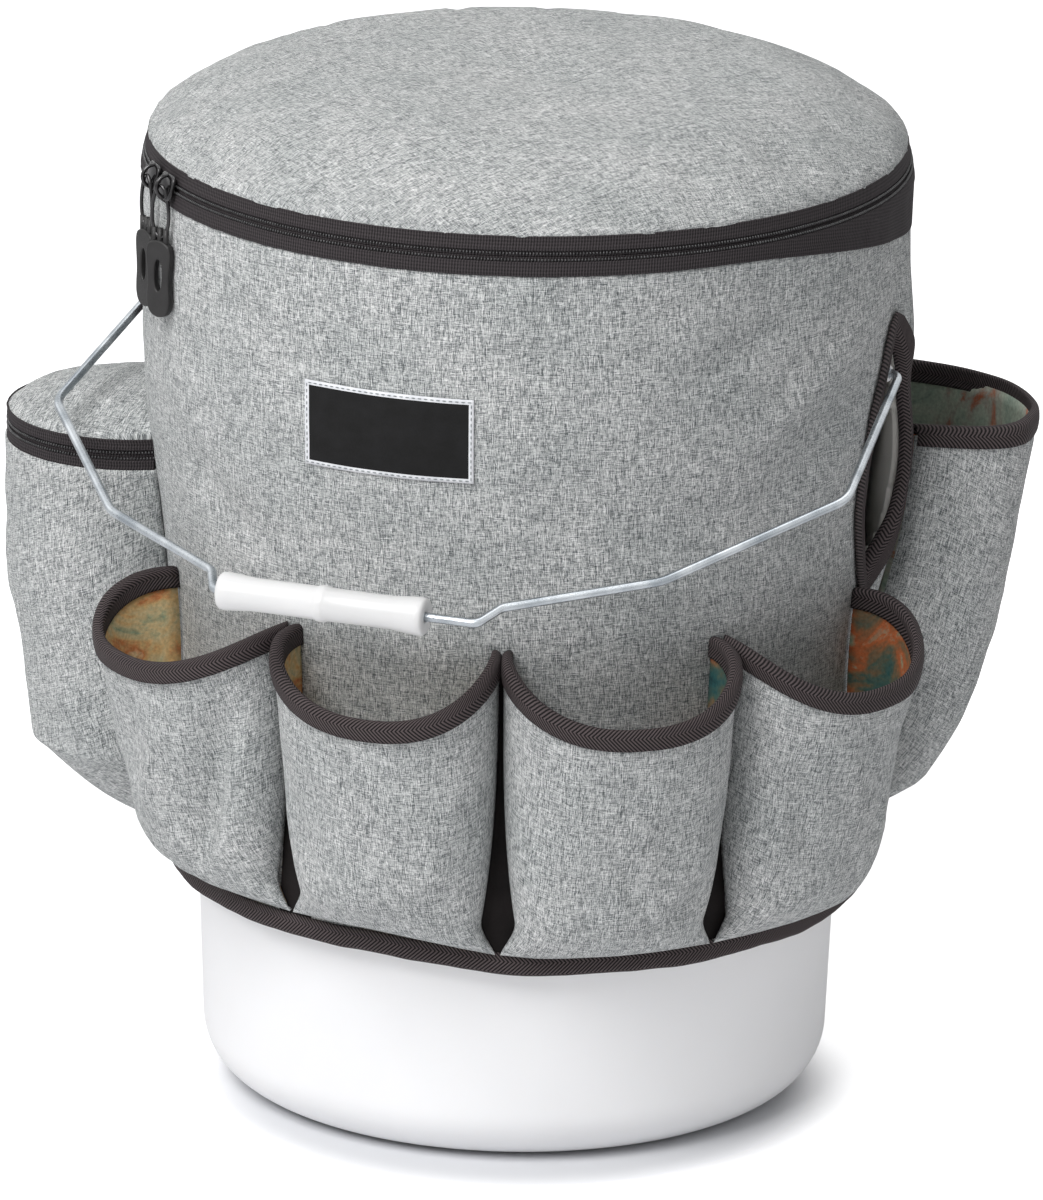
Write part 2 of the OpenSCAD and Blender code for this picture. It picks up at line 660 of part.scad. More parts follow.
// Space on one side of the fold line
module beyond_fold(side, gap) {
    depth = 2 * cup_r;
    x = side < 0 ? -fold_out - gap - depth : -fold_out + gap;
    translate([x, -depth - cup_front, 0]) cube([depth, 2 * depth, 2 * cup_zip_h]);
}
// Puffed sheet over the cup, from the zip's upper seam up to the sleeve
top_rings = 8;
function top_z(q) = top_low + top_rise * (1 - pow(q / cup_r, 2));
function top_curve(reach, lift) =
    [for (i = [0:top_rings]) let (q = reach * i / top_rings) [q, top_z(q) + lift]];
module top_sheet() {
    cup_place() rotate_extrude() polygon(concat(top_curve(cup_r, 0), backwards(top_curve(cup_r, top_t))));
}
// The yoke's edge turns down to the coil
module yoke_half() {
    inside = cup_r - tape_t;
    edge = cup_zip_h + coil_half;
    polygon(concat(top_curve(inside, 0), [[inside, edge], [cup_r, edge]],
                   backwards(top_curve(cup_r, top_t))));
}
module zipped_yoke() {
    color(heather) off_sleeve() intersection() {
        cup_place() rotate_extrude() yoke_half();
        beyond_fold(1, fold_gap);
    }
}
module zipped_flap() {
    color(heather) intersection() {
        top_sheet();
        beyond_fold(-1, fold_gap);
    }
}
cup_zip_start = 70;
cup_zip_sweep = 243;
module cup_band(low, high, thick) { zip_band(cup_zip, low, high, thick, cup_zip_start, cup_zip_sweep); }
module zipped_tape_lower() { color(black_tape) off_sleeve() cup_band(-tape_h, -tape_start, tape_t); }
module zipped_coil_lower() {
    color(black_coil) off_sleeve() cup_band(-coil_half - coil_h, -coil_half, coil_t);
}
module on_flap(low, high, thick) {
    intersection() {
        cup_band(low, high, thick);
        beyond_fold(-1, fold_gap);
    }
}
module zipped_tape_upper() { color(black_tape) on_flap(tape_start, tape_h, tape_t); }
module zipped_coil_upper() { color(black_coil) on_flap(coil_half, coil_half + coil_h, coil_t); }
cup_slider_az = 189;
module zipped_slider() { zip_slider(cup_zip, cup_slider_az); }
module zipped_link() { pull_link(cup_zip, cup_slider_az); }
module zipped_tab() { pull_tab(cup_zip, cup_slider_az); }

bucket();
handle_wire();
handle_grip();
sleeve_shell();
sleeve_foam();
rim_flange();
hem_binding();
slit_binding_right();
slit_binding_left();
label_patch();
can_pocket_1();
can_pocket_2();
can_pocket_3();
can_pocket_4();
can_lining_1();
can_lining_2();
can_lining_3();
can_lining_4();
can_binding_1();
can_binding_2();
can_binding_3();
can_binding_4();
side_pocket();
side_lining();
side_binding();
zipped_pocket();
zipped_yoke();
zipped_flap();
zipped_tape_lower();
zipped_coil_lower();
zipped_tape_upper();
zipped_coil_upper();
zipped_slider();
zipped_link();
zipped_tab();
lid_cover();
lid_foam();
lid_lining();
hinge_strip_lower();
hinge_strip_upper();
zip_tape_lower();
zip_coil_lower();
zip_tape_upper();
zip_coil_upper();
slider_a();
link_a();
tab_a();
slider_b();
link_b();
tab_b();
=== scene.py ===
"""Dresses the padded pail cover: its cloth, tape, zips, wire handle and pail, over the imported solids."""

from __future__ import annotations

import logging
import math
from collections.abc import Callable, Sequence
from dataclasses import dataclass, field
from enum import Enum

import bmesh
import bpy
from mathutils import Matrix, Vector, noise

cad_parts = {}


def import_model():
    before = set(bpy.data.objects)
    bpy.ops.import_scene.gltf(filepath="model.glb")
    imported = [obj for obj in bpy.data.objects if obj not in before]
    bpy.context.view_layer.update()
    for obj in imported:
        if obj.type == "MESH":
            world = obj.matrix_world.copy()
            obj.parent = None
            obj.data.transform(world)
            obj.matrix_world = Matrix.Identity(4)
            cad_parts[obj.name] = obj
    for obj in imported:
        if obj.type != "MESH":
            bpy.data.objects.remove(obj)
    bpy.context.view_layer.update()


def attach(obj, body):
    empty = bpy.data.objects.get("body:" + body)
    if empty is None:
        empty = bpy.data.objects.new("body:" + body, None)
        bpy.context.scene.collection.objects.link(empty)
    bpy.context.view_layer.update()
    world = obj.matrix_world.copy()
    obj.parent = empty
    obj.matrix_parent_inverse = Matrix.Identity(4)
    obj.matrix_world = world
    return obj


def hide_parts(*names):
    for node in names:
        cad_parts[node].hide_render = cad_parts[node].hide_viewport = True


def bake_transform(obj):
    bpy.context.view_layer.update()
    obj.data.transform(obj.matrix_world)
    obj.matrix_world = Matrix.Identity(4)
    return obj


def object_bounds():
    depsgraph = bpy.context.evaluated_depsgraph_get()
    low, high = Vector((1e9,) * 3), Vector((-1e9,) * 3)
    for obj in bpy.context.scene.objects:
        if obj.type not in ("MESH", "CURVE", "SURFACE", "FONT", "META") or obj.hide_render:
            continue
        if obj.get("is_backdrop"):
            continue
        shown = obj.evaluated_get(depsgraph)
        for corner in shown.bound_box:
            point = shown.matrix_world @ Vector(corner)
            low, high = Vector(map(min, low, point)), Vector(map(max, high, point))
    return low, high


LOG = logging.getLogger("pail_cover")
MM = 0.001
TAPE_MM = 0.8
Place = Callable[[float, float], Vector]
Tree = bpy.types.NodeTree
Socket = bpy.types.NodeSocket
Thing = bpy.types.Object


class Body(Enum):
    """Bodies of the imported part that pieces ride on."""

    PAIL = "pail"
    LID = "lid"
    HANDLE = "handle"
    GRIP = "grip"
    SLIDER_A = "slider_a"
    PULL_A = "pull_a"
    SLIDER_B = "slider_b"
    PULL_B = "pull_b"
    FLAP = "flap"
    POCKET_SLIDER = "pocket_slider"
    POCKET_PULL = "pocket_pull"


class Slot(Enum):
    """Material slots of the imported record."""

    PLASTIC = "white_hdpe"
    WIRE = "galvanised_wire"
    CLOTH = "heather_cloth"
    FOAM = "foam"
    INNER = "inner_lining"
    TAPE = "black_tape"
    COIL = "black_coil"
    PRINT = "printed_lining"
    LABEL = "label_cloth"
    METAL = "gunmetal"
    RUBBER = "black_rubber"


def linear(code: str) -> tuple[float, float, float, float]:
    """Turns an sRGB hex colour to linear.

    Args:
        code: Six hex digits after a hash sign.

    Returns:
        Red, green, blue and alpha from 0 to 1.
    """
    parts = [int(code[i : i + 2], 16) / 255 for i in (1, 3, 5)]
    made = [c / 12.92 if c <= 0.04045 else ((c + 0.055) / 1.055) ** 2.4 for c in parts]
    return (made[0], made[1], made[2], 1.0)


def add(
    tree: Tree,
    kind: str,
    inputs: dict | None = None,
    out: int | str = 0,
    stops: Sequence[tuple[float, str]] = (),
    **settings: object,
) -> Socket | None:
    """Adds one node to a material.

    Args:
        tree: The material's node tree.
        kind: The node's type, without its common first word.
        inputs: Values, or sockets to link, by the input's name or number.
        out: The output that is wanted, by its name or number.
        stops: Position and hex colour of each stop of a colour ramp.
        settings: The node's own properties.

    Returns:
        The wanted output, or none where the node has no outputs.
    """
    made = tree.nodes.new("ShaderNode" + kind)
    for key, value in settings.items():
        setattr(made, key, value)
    for key, value in (inputs or {}).items():
        if isinstance(value, Socket):
            tree.links.new(value, made.inputs[key])
        else:
            made.inputs[key].default_value = value
    while stops and len(made.color_ramp.elements) < len(stops):
        made.color_ramp.elements.new(0.5)
    for i, (position, code) in enumerate(stops):
        made.color_ramp.elements[i].position = position
        made.color_ramp.elements[i].color = linear(code)
    return made.outputs[out] if made.outputs else None


class Finish:
    """A material that is made once and shared."""

    name: str

    def material(self) -> bpy.types.Material:
        """Finds the material, or makes it on first use.

        Returns:
            The finish's material.
        """
        found = bpy.data.materials.get(self.name)
        if found is not None:
            return found
        made = bpy.data.materials.new(self.name)
        made.use_nodes = True
        made.node_tree.nodes.clear()
        add(made.node_tree, "OutputMaterial", {"Surface": self.shade(made.node_tree)})
        return made

    def shade(self, tree: Tree) -> Socket:
        """Builds the shader; each finish has its own.

        Args:
            tree: The new material's node tree.

        Returns:
            The shader's socket.
        """
        raise NotImplementedError


@dataclass(frozen=True)
class HeatherCloth(Finish):
    """Woven polyester of mixed yarns: pale and dark flecks cross, so the eye sees a soft neutral grey."""

    name: str = "heathered_polyester_weave"
    dark: str = "#525658"
    mid: str = "#a3a6a6"
    light: str = "#e9e9e8"
    yarn_mm: float = 0.27  # about the real yarn
    slub_mm: float = 5.0
    stagger: float = 1.8  # shifts each yarn against the next, so that slubs end at different places
    shade_mm: float = 45.0
    warp: float = 0.95
    weft: float = 0.75
    fleck: float = 0.3

    def shade(self, tree: Tree) -> Socket:
        """Crosses streaked noises for warp and weft over a fine grain.

        Args:
            tree: The material's node tree.

        Returns:
            The shader's socket.
        """
        uv = add(tree, "UVMap", uv_map="cloth")
        fine, long = 1 / (self.yarn_mm * MM), 1 / (self.slub_mm * MM)
        ways = (((fine, long, 1), self.warp), ((long, fine, 1), self.weft), ((fine, fine, 1), self.fleck))
        total = 0.0
        for scale, weight in ways:
            mapped = add(tree, "Mapping", {"Vector": uv, "Scale": scale})
            noisy = {"Vector": mapped, "Scale": 1.0, "Detail": 1.0, "Distortion": self.stagger}
            streak = add(tree, "TexNoise", noisy)
            total = add(tree, "Math", {0: streak, 1: weight, 2: total}, operation="MULTIPLY_ADD")
        level = add(tree, "MapRange", {"Value": total, "From Min": 0.86, "From Max": 1.14})
        yarns = [(0.0, self.dark), (0.5, self.mid), (1.0, self.light)]
        yarn = add(tree, "ValToRGB", {"Fac": level}, stops=yarns)
        cloudy = add(tree, "TexNoise", {"Vector": uv, "Scale": 1 / (self.shade_mm * MM), "Detail": 3.0})
        tint = add(tree, "ValToRGB", {"Fac": cloudy}, stops=[(0.35, "#eff1f1"), (0.65, "#ffffff")])
        both = {"Factor": 1.0, 6: yarn, 7: tint}
        colour = add(tree, "Mix", both, 2, data_type="RGBA", blend_type="MULTIPLY")
        looks = {
            "Base Color": colour,
            "Roughness": 0.86,
            "IOR": 1.46,
            "Specular IOR Level": 0.25,
            "Sheen Weight": 0.08,
            "Sheen Roughness": 0.5,
            "Normal": add(tree, "Bump", {"Height": total, "Strength": 0.4, "Distance": 0.4 * MM}),
        }
        return add(tree, "BsdfPrincipled", looks)


@dataclass(frozen=True)
class RibbedTape(Finish):
    """A tape with raised ribs under loose fuzz, coloured by rib height: painted light on the ribs and
    painted shade between them.
    """

    name: str
    groove: str
    ridge: str
    fuzz_mm: float
    fuzz_detail: float
    fuzz_share: float
    span: tuple[float, float]
    relief: float
    relief_mm: float
    roughness: float

    def ribs(self, tree: Tree, split: bpy.types.Node) -> Socket:
        """Draws the ribs; each tape has its own.

        Args:
            tree: The material's node tree.
            split: The node that gives the lengths along and across the tape.

        Returns:
            Their height.
        """
        raise NotImplementedError

    def wave(self, tree: Tree, run: Socket, pitch_mm: float) -> Socket:
        """Returns a wave of a pitch in millimetres along a length."""
        phase = add(tree, "Math", {0: run, 1: math.tau / (pitch_mm * MM)}, operation="MULTIPLY")
        return add(tree, "Math", {0: phase}, operation="SINE")

    def shade(self, tree: Tree) -> Socket:
        """Colours the ribs by their height, roughened by the fuzz: painted shade in the grooves and painted
        light on the ribs.

        Args:
            tree: The material's node tree.

        Returns:
            The shader's socket.
        """
        uv = add(tree, "UVMap", uv_map="cloth")
        ribs = self.ribs(tree, add(tree, "SeparateXYZ", {0: uv}).node)
        grain = {"Vector": uv, "Scale": 1 / (self.fuzz_mm * MM), "Detail": self.fuzz_detail}
        fuzz = add(tree, "TexNoise", grain)
        height = add(tree, "Math", {0: fuzz, 1: self.fuzz_share, 2: ribs}, operation="MULTIPLY_ADD")
        level = add(tree, "MapRange", {"Value": height, "From Min": self.span[0], "From Max": self.span[1]})
        bump = {"Height": height, "Strength": self.relief, "Distance": self.relief_mm * MM}
        # Painted shade in the grooves, painted light on the ribs
        tones = [(0.0, self.groove), (1.0, self.ridge)]
        looks = {
            "Base Color": add(tree, "ValToRGB", {"Fac": level}, stops=tones),
            "Roughness": self.roughness,
            "Specular IOR Level": 0.2,
            "Normal": add(tree, "Bump", bump),
        }
        return add(tree, "BsdfPrincipled", looks)


@dataclass(frozen=True)
class TwillTape(RibbedTape):
    """Polyester twill binding: raised diagonal ribs that turn at the tape's middle, soft and near black."""

    name: str = "polyester_twill_binding"
    # Groove and ridge colours: painted shade and painted light over the near-black twill
    groove: str = "#080707"
    ridge: str = "#5d5354"
    fuzz_mm: float = 0.55
    fuzz_detail: float = 1.0
    fuzz_share: float = 1.0
    span: tuple[float, float] = (-0.3, 1.5)
    relief: float = 0.55
    relief_mm: float = 0.35
    roughness: float = 0.78
    rib_mm: float = 1.7  # real ribs are about 1 mm apart, drawn coarser so that they show
    width_mm: float = 11.0

    def ribs(self, tree: Tree, split: bpy.types.Node) -> Socket:
        """Draws herringbone ribs along the tape.

        Args:
            tree: The material's node tree.
            split: The node that gives the lengths along and across the tape.

        Returns:
            Their height.
        """
        turn = {0: split.outputs[1], 1: self.width_mm / 2 * MM}
        across = add(tree, "Math", turn, operation="PINGPONG")
        slant = add(tree, "Math", {0: split.outputs[0], 1: across}, operation="ADD")
        return self.wave(tree, slant, self.rib_mm)


@dataclass(frozen=True)
class KnitTape(RibbedTape):
    """Warp-knit zip tape: fine rows of loops along the zip, charcoal with a dry look."""

    name: str = "knitted_zip_tape"
    # Groove and ridge colours: painted shade and painted light over the charcoal knit
    groove: str = "#121011"
    ridge: str = "#443f41"
    fuzz_mm: float = 0.6
    fuzz_detail: float = 2.0
    fuzz_share: float = 2.0
    span: tuple[float, float] = (-0.4, 2.4)
    relief: float = 0.4
    relief_mm: float = 0.3
    roughness: float = 0.8
    row_mm: float = 1.4  # real loops are under 1 mm, drawn coarser so that they show
    loop_mm: float = 1.2
    row_share: float = 0.45

    def ribs(self, tree: Tree, split: bpy.types.Node) -> Socket:
        """Draws rows of loops.

        Args:
            tree: The material's node tree.
            split: The node that gives the lengths along and across the tape.

        Returns:
            Their height.
        """
        loops = self.wave(tree, split.outputs[0], self.loop_mm)
        rows = self.wave(tree, split.outputs[1], self.row_mm)
        return add(tree, "Math", {0: rows, 1: self.row_share, 2: loops}, operation="MULTIPLY_ADD")


@dataclass(frozen=True)
class MottledLining(Finish):
    """Printed polyester lining: soft blotches of several dyes that run into each other."""

    name: str
    tones: tuple[str, ...]
    blotch_mm: float = 26.0
    speck_mm: float = 1.4
    first: float = 0.32
    spread: float = 0.36

    def shade(self, tree: Tree) -> Socket:
        """Spreads the dyes over a warped noise.

        Args:
            tree: The material's node tree.

        Returns:
            The shader's socket.
        """
        place = add(tree, "TexCoord", out="Object")
        cloud = {"Vector": place, "Scale": 1 / (self.blotch_mm * MM), "Detail": 6.0}
        blotch = add(tree, "TexNoise", cloud | {"Roughness": 0.62, "Distortion": 0.8})
        step = self.spread / (len(self.tones) - 1)
        stops = [(self.first + step * i, code) for i, code in enumerate(self.tones)]
        tones = add(tree, "ValToRGB", {"Fac": blotch}, stops=stops)
        speck = add(tree, "TexNoise", {"Vector": place, "Scale": 1 / (self.speck_mm * MM), "Detail": 2.0})
        grain = add(tree, "ValToRGB", {"Fac": speck}, stops=[(0.3, "#d8d8d8"), (0.7, "#ffffff")])
        both = {"Factor": 1.0, 6: tones, 7: grain}
        looks = {
            "Base Color": add(tree, "Mix", both, 2, data_type="RGBA", blend_type="MULTIPLY"),
            "Roughness": 0.62,
            "Specular IOR Level": 0.35,
            "Normal": add(tree, "Bump", {"Height": speck, "Strength": 0.2, "Distance": 0.2 * MM}),
        }
        return add(tree, "BsdfPrincipled", looks)


@dataclass(frozen=True)
class Speckled(Finish):
    """A plain moulded, drawn or woven surface: one colour with faint cloudiness and a fine grain."""

    name: str
    low: str
    high: str
    cloud_mm: float
    grain_mm: float
    roughness: float
    spread: float = 0.06
    metallic: float = 0.0
    ior: float = 1.5
    specular: float = 0.5
    grain_depth_mm: float = 0.05
    subsurface: float = 0.0
    coat: float = 0.0

    def shade(self, tree: Tree) -> Socket:
        """Varies colour and roughness over two noises.

        Args:
            tree: The material's node tree.

        Returns:
            The shader's socket.
        """
        place = add(tree, "TexCoord", out="Object")
        cloud = add(tree, "TexNoise", {"Vector": place, "Scale": 1 / (self.cloud_mm * MM), "Detail": 4.0})
        grain = add(tree, "TexNoise", {"Vector": place, "Scale": 1 / (self.grain_mm * MM), "Detail": 3.0})
        dull = {"To Min": self.roughness - self.spread, "To Max": self.roughness + self.spread}
        rough = {"Value": grain, "From Min": 0.3, "From Max": 0.7} | dull
        bump = {"Height": grain, "Strength": 0.3, "Distance": self.grain_depth_mm * MM}
        shades = [(0.35, self.low), (0.65, self.high)]
        looks = {
            "Base Color": add(tree, "ValToRGB", {"Fac": cloud}, stops=shades),
            "Roughness": add(tree, "MapRange", rough),
            "Metallic": self.metallic,
            "IOR": self.ior,
            "Specular IOR Level": self.specular,
            "Coat Weight": self.coat,
            "Coat Roughness": 0.12,
            "Normal": add(tree, "Bump", bump),
        }
        if self.subsurface:
            looks["Subsurface Weight"] = self.subsurface
            looks["Subsurface Radius"] = (1.0, 0.9, 0.8)
            looks["Subsurface Scale"] = 2 * MM
        return add(tree, "BsdfPrincipled", looks)


CLOTH = HeatherCloth()
TAPE = TwillTape()
ZIP_TAPE = KnitTape()
WARM_DYES = ("#3f5a4c", "#8ba48a", "#d8c597", "#dcb67e", "#cf7f4d", "#e0c79b")
WARM_PRINT = MottledLining("mottled_lining_warm", WARM_DYES)
DEEP_DYES = ("#16343a", "#2f5f60", "#54675a", "#8a6a4c", "#c0683c", "#9aa88c")
DEEP_PRINT = MottledLining("mottled_lining_deep", DEEP_DYES)
PALE_DYES = ("#6d7f74", "#93a596", "#b4bfae", "#a9a598", "#b8643f", "#9daa9f")
PALE_PRINT = MottledLining("mottled_lining_pale", PALE_DYES)
# High-density polyethylene, moulded: smooth, a little waxy, light sinks in slightly
PAIL_PLASTIC = Speckled(
    "moulded_polyethylene", "#eeeeef", "#f4f4f5", 160, 1.2, 0.36, ior=1.54, subsurface=0.08
)
# The same plastic on the grip with a smoother skin, coloured greyer than the pail's as painted shade
SHADED_GRIP_PLASTIC = Speckled(
    "moulded_polyethylene_grip_shaded",
    "#d6d6d6",
    "#dfdfdf",
    60,
    0.9,
    0.34,
    ior=1.54,
    grain_depth_mm=0.01,
    subsurface=0.08,
)
# Zinc-coated drawn steel: bright streaks with a cool, slightly clouded film
WIRE_STEEL = Speckled(
    "galvanised_drawn_wire", "#9aa1a7", "#c9ced2", 14, 0.8, 0.3, metallic=1.0, grain_depth_mm=0.01
)
# Black-nickel plated die casting: dark mirror with rounded highlights
BLACK_NICKEL = Speckled("black_nickel_casting", "#2b2a2b", "#3b3a3b", 6, 0.7, 0.14, metallic=0.85, coat=0.5)
# Moulded synthetic rubber: soft black with a broad dull highlight
PULL_RUBBER = Speckled("moulded_rubber_pull", "#191818", "#242323", 9, 0.6, 0.5, specular=0.45)
# Nylon monofilament wound into a coil: smooth and dark with small sharp highlights
NYLON = Speckled("nylon_monofilament", "#2c2c2d", "#444445", 5, 0.5, 0.24, specular=0.6)
# Near-black matt sheet in the gaps between the can pockets: painted shade in those deep gaps
GAP_SHADE = Speckled("near_black_gap_shade", "#151212", "#1e1a1a", 12, 0.8, 0.8, specular=0.2)
# Closed-cell foam with a plain film: off-white and dull
FOAM_FILM = Speckled("closed_cell_foam", "#d9d7d0", "#e6e4de", 25, 1.6, 0.7, specular=0.3)
# Plain-woven polyester lining: pale grey with a soft, even look
INNER_CLOTH = Speckled("plain_woven_lining", "#b9bcbd", "#c8cacb", 30, 0.9, 0.65, specular=0.3)
# Damask-woven label: tight black satin ground with a white satin edge
LABEL_BLACK = Speckled(
    "label_satin_black", "#0c0c0c", "#141415", 8, 0.7, 0.6, specular=0.22, grain_depth_mm=0.12
)
LABEL_WHITE = Speckled(
    "label_satin_white", "#d5d7db", "#e6e7ea", 6, 0.7, 0.6, specular=0.4, grain_depth_mm=0.15
)
# Spun polyester thread: matt grey, close to the cloth
THREAD_GREY = Speckled("sewing_thread_grey", "#71787a", "#8d9496", 3, 0.4, 0.6)


def ramp(t: float) -> float:
    """Returns a smooth step from 0 to 1."""
    c = min(1.0, max(0.0, t))
    return c * c * (3 - 2 * c)


def bell(t: float) -> float:
    """Returns a smooth bump of height 1 at 0."""
    return math.exp(-t * t)


def about(az: float, r: float, z: float) -> Vector:
    """Returns the point at a radius on an azimuth, from the front towards the right."""
    a = math.radians(az)
    return Vector((r * math.sin(a), -r * math.cos(a), z))


def azimuth_of(p: Vector) -> float:
    """Returns a point's azimuth, from the front towards the right."""
    return math.degrees(math.atan2(p.x, -p.y))


def polar(middle: tuple[float, float], turn: float, r: float, z: float) -> Vector:
    """Returns the point on a ring about a middle, at an angle counter-clockwise from the right."""
    a = math.radians(turn)
    return Vector((middle[0] + r * math.cos(a), middle[1] + r * math.sin(a), z))


def flat_out(p: Vector, middle: tuple[float, float]) -> Vector:
    """Returns the level direction from a middle to a point."""
    return Vector((p.x - middle[0], p.y - middle[1], 0)).normalized()


def rumple(seed: float, a: float, b: float) -> float:
    """Returns soft fractal noise from about -1 to 1 at a place on a cloth."""
    return noise.fractal(Vector((a, b, seed)), 0.9, 2.0, 3)


def heading(azimuth: float, elevation: float) -> Vector:
    """Returns a direction from its azimuth, from the front towards the right, and its elevation."""
    a, e = math.radians(azimuth), math.radians(elevation)
    return Vector((math.sin(a) * math.cos(e), -math.cos(a) * math.cos(e), math.sin(e)))


def crease(line: Vector, here: Vector, wide: float, grow: float, fade: float) -> float:
    """Works out the height share of a soft crease that is drawn across a cloth.

    Args:
        line: The crease's run from its start.
        here: The place on the cloth from the crease's start.
        wide: How wide it is.
        grow: Share of its run over which it grows.
        fade: Share of its run over which it fades.

    Returns:
        A share from 0 to 1.
    """
    share = here.dot(line) / line.length_squared
    off = (here - line * share).length
    return bell(off / wide) * ramp(share / grow) * ramp((1 - share) / fade)


def tape_fold(share: float, leg: float, half: float, swell: float) -> tuple[float, float]:
    """Finds a place on a tape that is folded over an edge.

    Args:
        share: Share of the tape's width, from its outer side to its inner side.
        leg: Width of each of its flat sides.
        half: Half the thickness that it is folded over.
        swell: How far its outer side swells.

    Returns:
        Distance out from the middle, and distance from the fold.
    """
    length = 2 * leg + math.pi * half
    run = share * length
    if run < leg:
        return half + swell * math.sin(math.pi * run / leg), half + leg - run
    if run > length - leg:
        return -half, half + run - (length - leg)
    a = (run - leg) / half
    return half * math.cos(a), half - half * math.sin(a)


def shown(mesh: bpy.types.Mesh, name: str) -> Thing:
    """Links a new object that shows a mesh with smooth shading.

    Args:
        mesh: The mesh, in metres.
        name: The piece's name.

    Returns:
        The new object, at the origin.
    """
    mesh.polygons.foreach_set("use_smooth", [True] * len(mesh.polygons))
    made = bpy.data.objects.new(name, mesh)
    bpy.context.scene.collection.objects.link(made)
    return made


def to_object(bm: bmesh.types.BMesh, name: str) -> Thing:
    """Turns a mesh in millimetres into an object in metres at the origin.

    Args:
        bm: The finished mesh, freed here.
        name: The piece's name.

    Returns:
        The new object.
    """
    bmesh.ops.scale(bm, vec=(MM, MM, MM), verts=bm.verts)
    mesh = bpy.data.meshes.new(name)
    bm.to_mesh(mesh)
    bm.free()
    return shown(mesh, name)


def curve_mesh(curve: bpy.types.Curve) -> bpy.types.Mesh:
    """Turns a drawn curve into a mesh.

    Args:
        curve: The curve, in metres.

    Returns:
        Its mesh.
    """
    drawn = bpy.data.objects.new(curve.name + "_line", curve)
    bpy.context.scene.collection.objects.link(drawn)
    graph = bpy.context.evaluated_depsgraph_get()
    mesh = bpy.data.meshes.new_from_object(drawn.evaluated_get(graph))
    bpy.data.objects.remove(drawn)
    return mesh


def seat(obj: Thing, finish: Finish, slot: Slot, body: Body | None, nodes: Sequence[str] = ()) -> None:
    """Dresses a piece and sets it on its body.

    Args:
        obj: The piece.
        finish: What it is made of.
        slot: The record's slot for that; not used.
        body: The body that it rides on, or none where it bends between two.
        nodes: The solids that it stands for.
    """
    if not obj.data.materials:
        obj.data.materials.append(finish.material())
    if nodes:
        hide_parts(*nodes)
    if body is not None:
        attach(obj, body.value)
    LOG.info("%s in %s on %s", obj.name, finish.name, body.value if body else "two bodies")


def measured(spots: Sequence[Sequence[Vector]]) -> tuple[list[list[float]], list[list[float]]]:
    """Measures a grid of points along both of its ways.

    Args:
        spots: Columns of points.

    Returns:
        Length across from the middle column, and length up from the first row, at each point.
    """
    columns, rows = len(spots), len(spots[0])
    middle = columns // 2
    across = [[0.0] * rows for _ in range(columns)]
    up = [[0.0] * rows for _ in range(columns)]
    for j in range(rows):
        for i in range(middle + 1, columns):
            across[i][j] = across[i - 1][j] + (spots[i][j] - spots[i - 1][j]).length
        for i in range(middle - 1, -1, -1):
            across[i][j] = across[i + 1][j] - (spots[i + 1][j] - spots[i][j]).length
    for i in range(columns):
        for j in range(1, rows):
            up[i][j] = up[i][j - 1] + (spots[i][j] - spots[i][j - 1]).length
    return across, up


def sheet(
    name: str,
    columns: int,
    rows: int,
    place: Place,
    thick: float = 0.0,
    closed: bool = False,
    keep: Callable[[float, float], bool] | None = None,
) -> Thing:
    """Bends a flat grid of cloth into place, with its weave laid out by measured length.

    Args:
        name: The piece's name.
        columns: Faces across.
        rows: Faces up.
        place: Point in millimetres from shares across and up.
        thick: Thickness, laid on the inner side.
        closed: Whether the first and last columns meet.
        keep: Test on shares across and up that says which faces stay.

    Returns:
        The new object.
    """
    bm = bmesh.new()
    bmesh.ops.create_grid(bm, x_segments=columns, y_segments=rows, size=0.5)
    layer = bm.loops.layers.uv.new("cloth")
    if keep is not None:
        middles = {face: face.calc_center_median() for face in bm.faces}
        dropped = [face for face, p in middles.items() if not keep(p.x + 0.5, p.y + 0.5)]
        bmesh.ops.delete(bm, geom=dropped, context="FACES")
    spots = [[place(i / columns, j / rows) for j in range(rows + 1)] for i in range(columns + 1)]
    across, up = measured(spots)
    cells = {v: (round((v.co.x + 0.5) * columns), round((v.co.y + 0.5) * rows)) for v in bm.verts}
    for face in bm.faces:
        for loop in face.loops:
            i, j = cells[loop.vert]
            loop[layer].uv = (across[i][j] * MM, up[i][j] * MM)
    for vert, (i, j) in cells.items():
        vert.co = spots[i][j]
    if closed:
        bmesh.ops.remove_doubles(bm, verts=bm.verts, dist=0.01)
    made = to_object(bm, name)
    if thick:
        wall = made.modifiers.new("Cloth", "SOLIDIFY")
        wall.thickness = thick * MM
        wall.offset = -1.0
        wall.use_even_offset = False
    return made


def spun(
    name: str, profile: Sequence[tuple[float, float]], steps: int, place: Matrix | None = None
) -> Thing:
    """Spins a closed profile round the Z axis.

    Args:
        name: The piece's name.
        profile: Radius and height of each corner in millimetres.
        steps: Faces round.
        place: Where the spun shape goes, in millimetres.

    Returns:
        The new object.
    """
    bm = bmesh.new()
    corners = [bm.verts.new((r, 0.0, z)) for r, z in profile]
    for first, second in zip(corners, corners[1:] + corners[:1]):
        bm.edges.new((first, second))
    turned = list(bm.verts) + list(bm.edges)
    round_z = {"cent": (0, 0, 0), "axis": (0, 0, 1), "angle": math.tau}
    bmesh.ops.spin(bm, geom=turned, steps=steps, use_merge=True, **round_z)
    bmesh.ops.remove_doubles(bm, verts=bm.verts, dist=0.001)
    bmesh.ops.dissolve_degenerate(bm, edges=bm.edges, dist=0.0005)
    bmesh.ops.recalc_face_normals(bm, faces=bm.faces)
    if place is not None:
        bmesh.ops.transform(bm, matrix=place, verts=bm.verts)
    return to_object(bm, name)


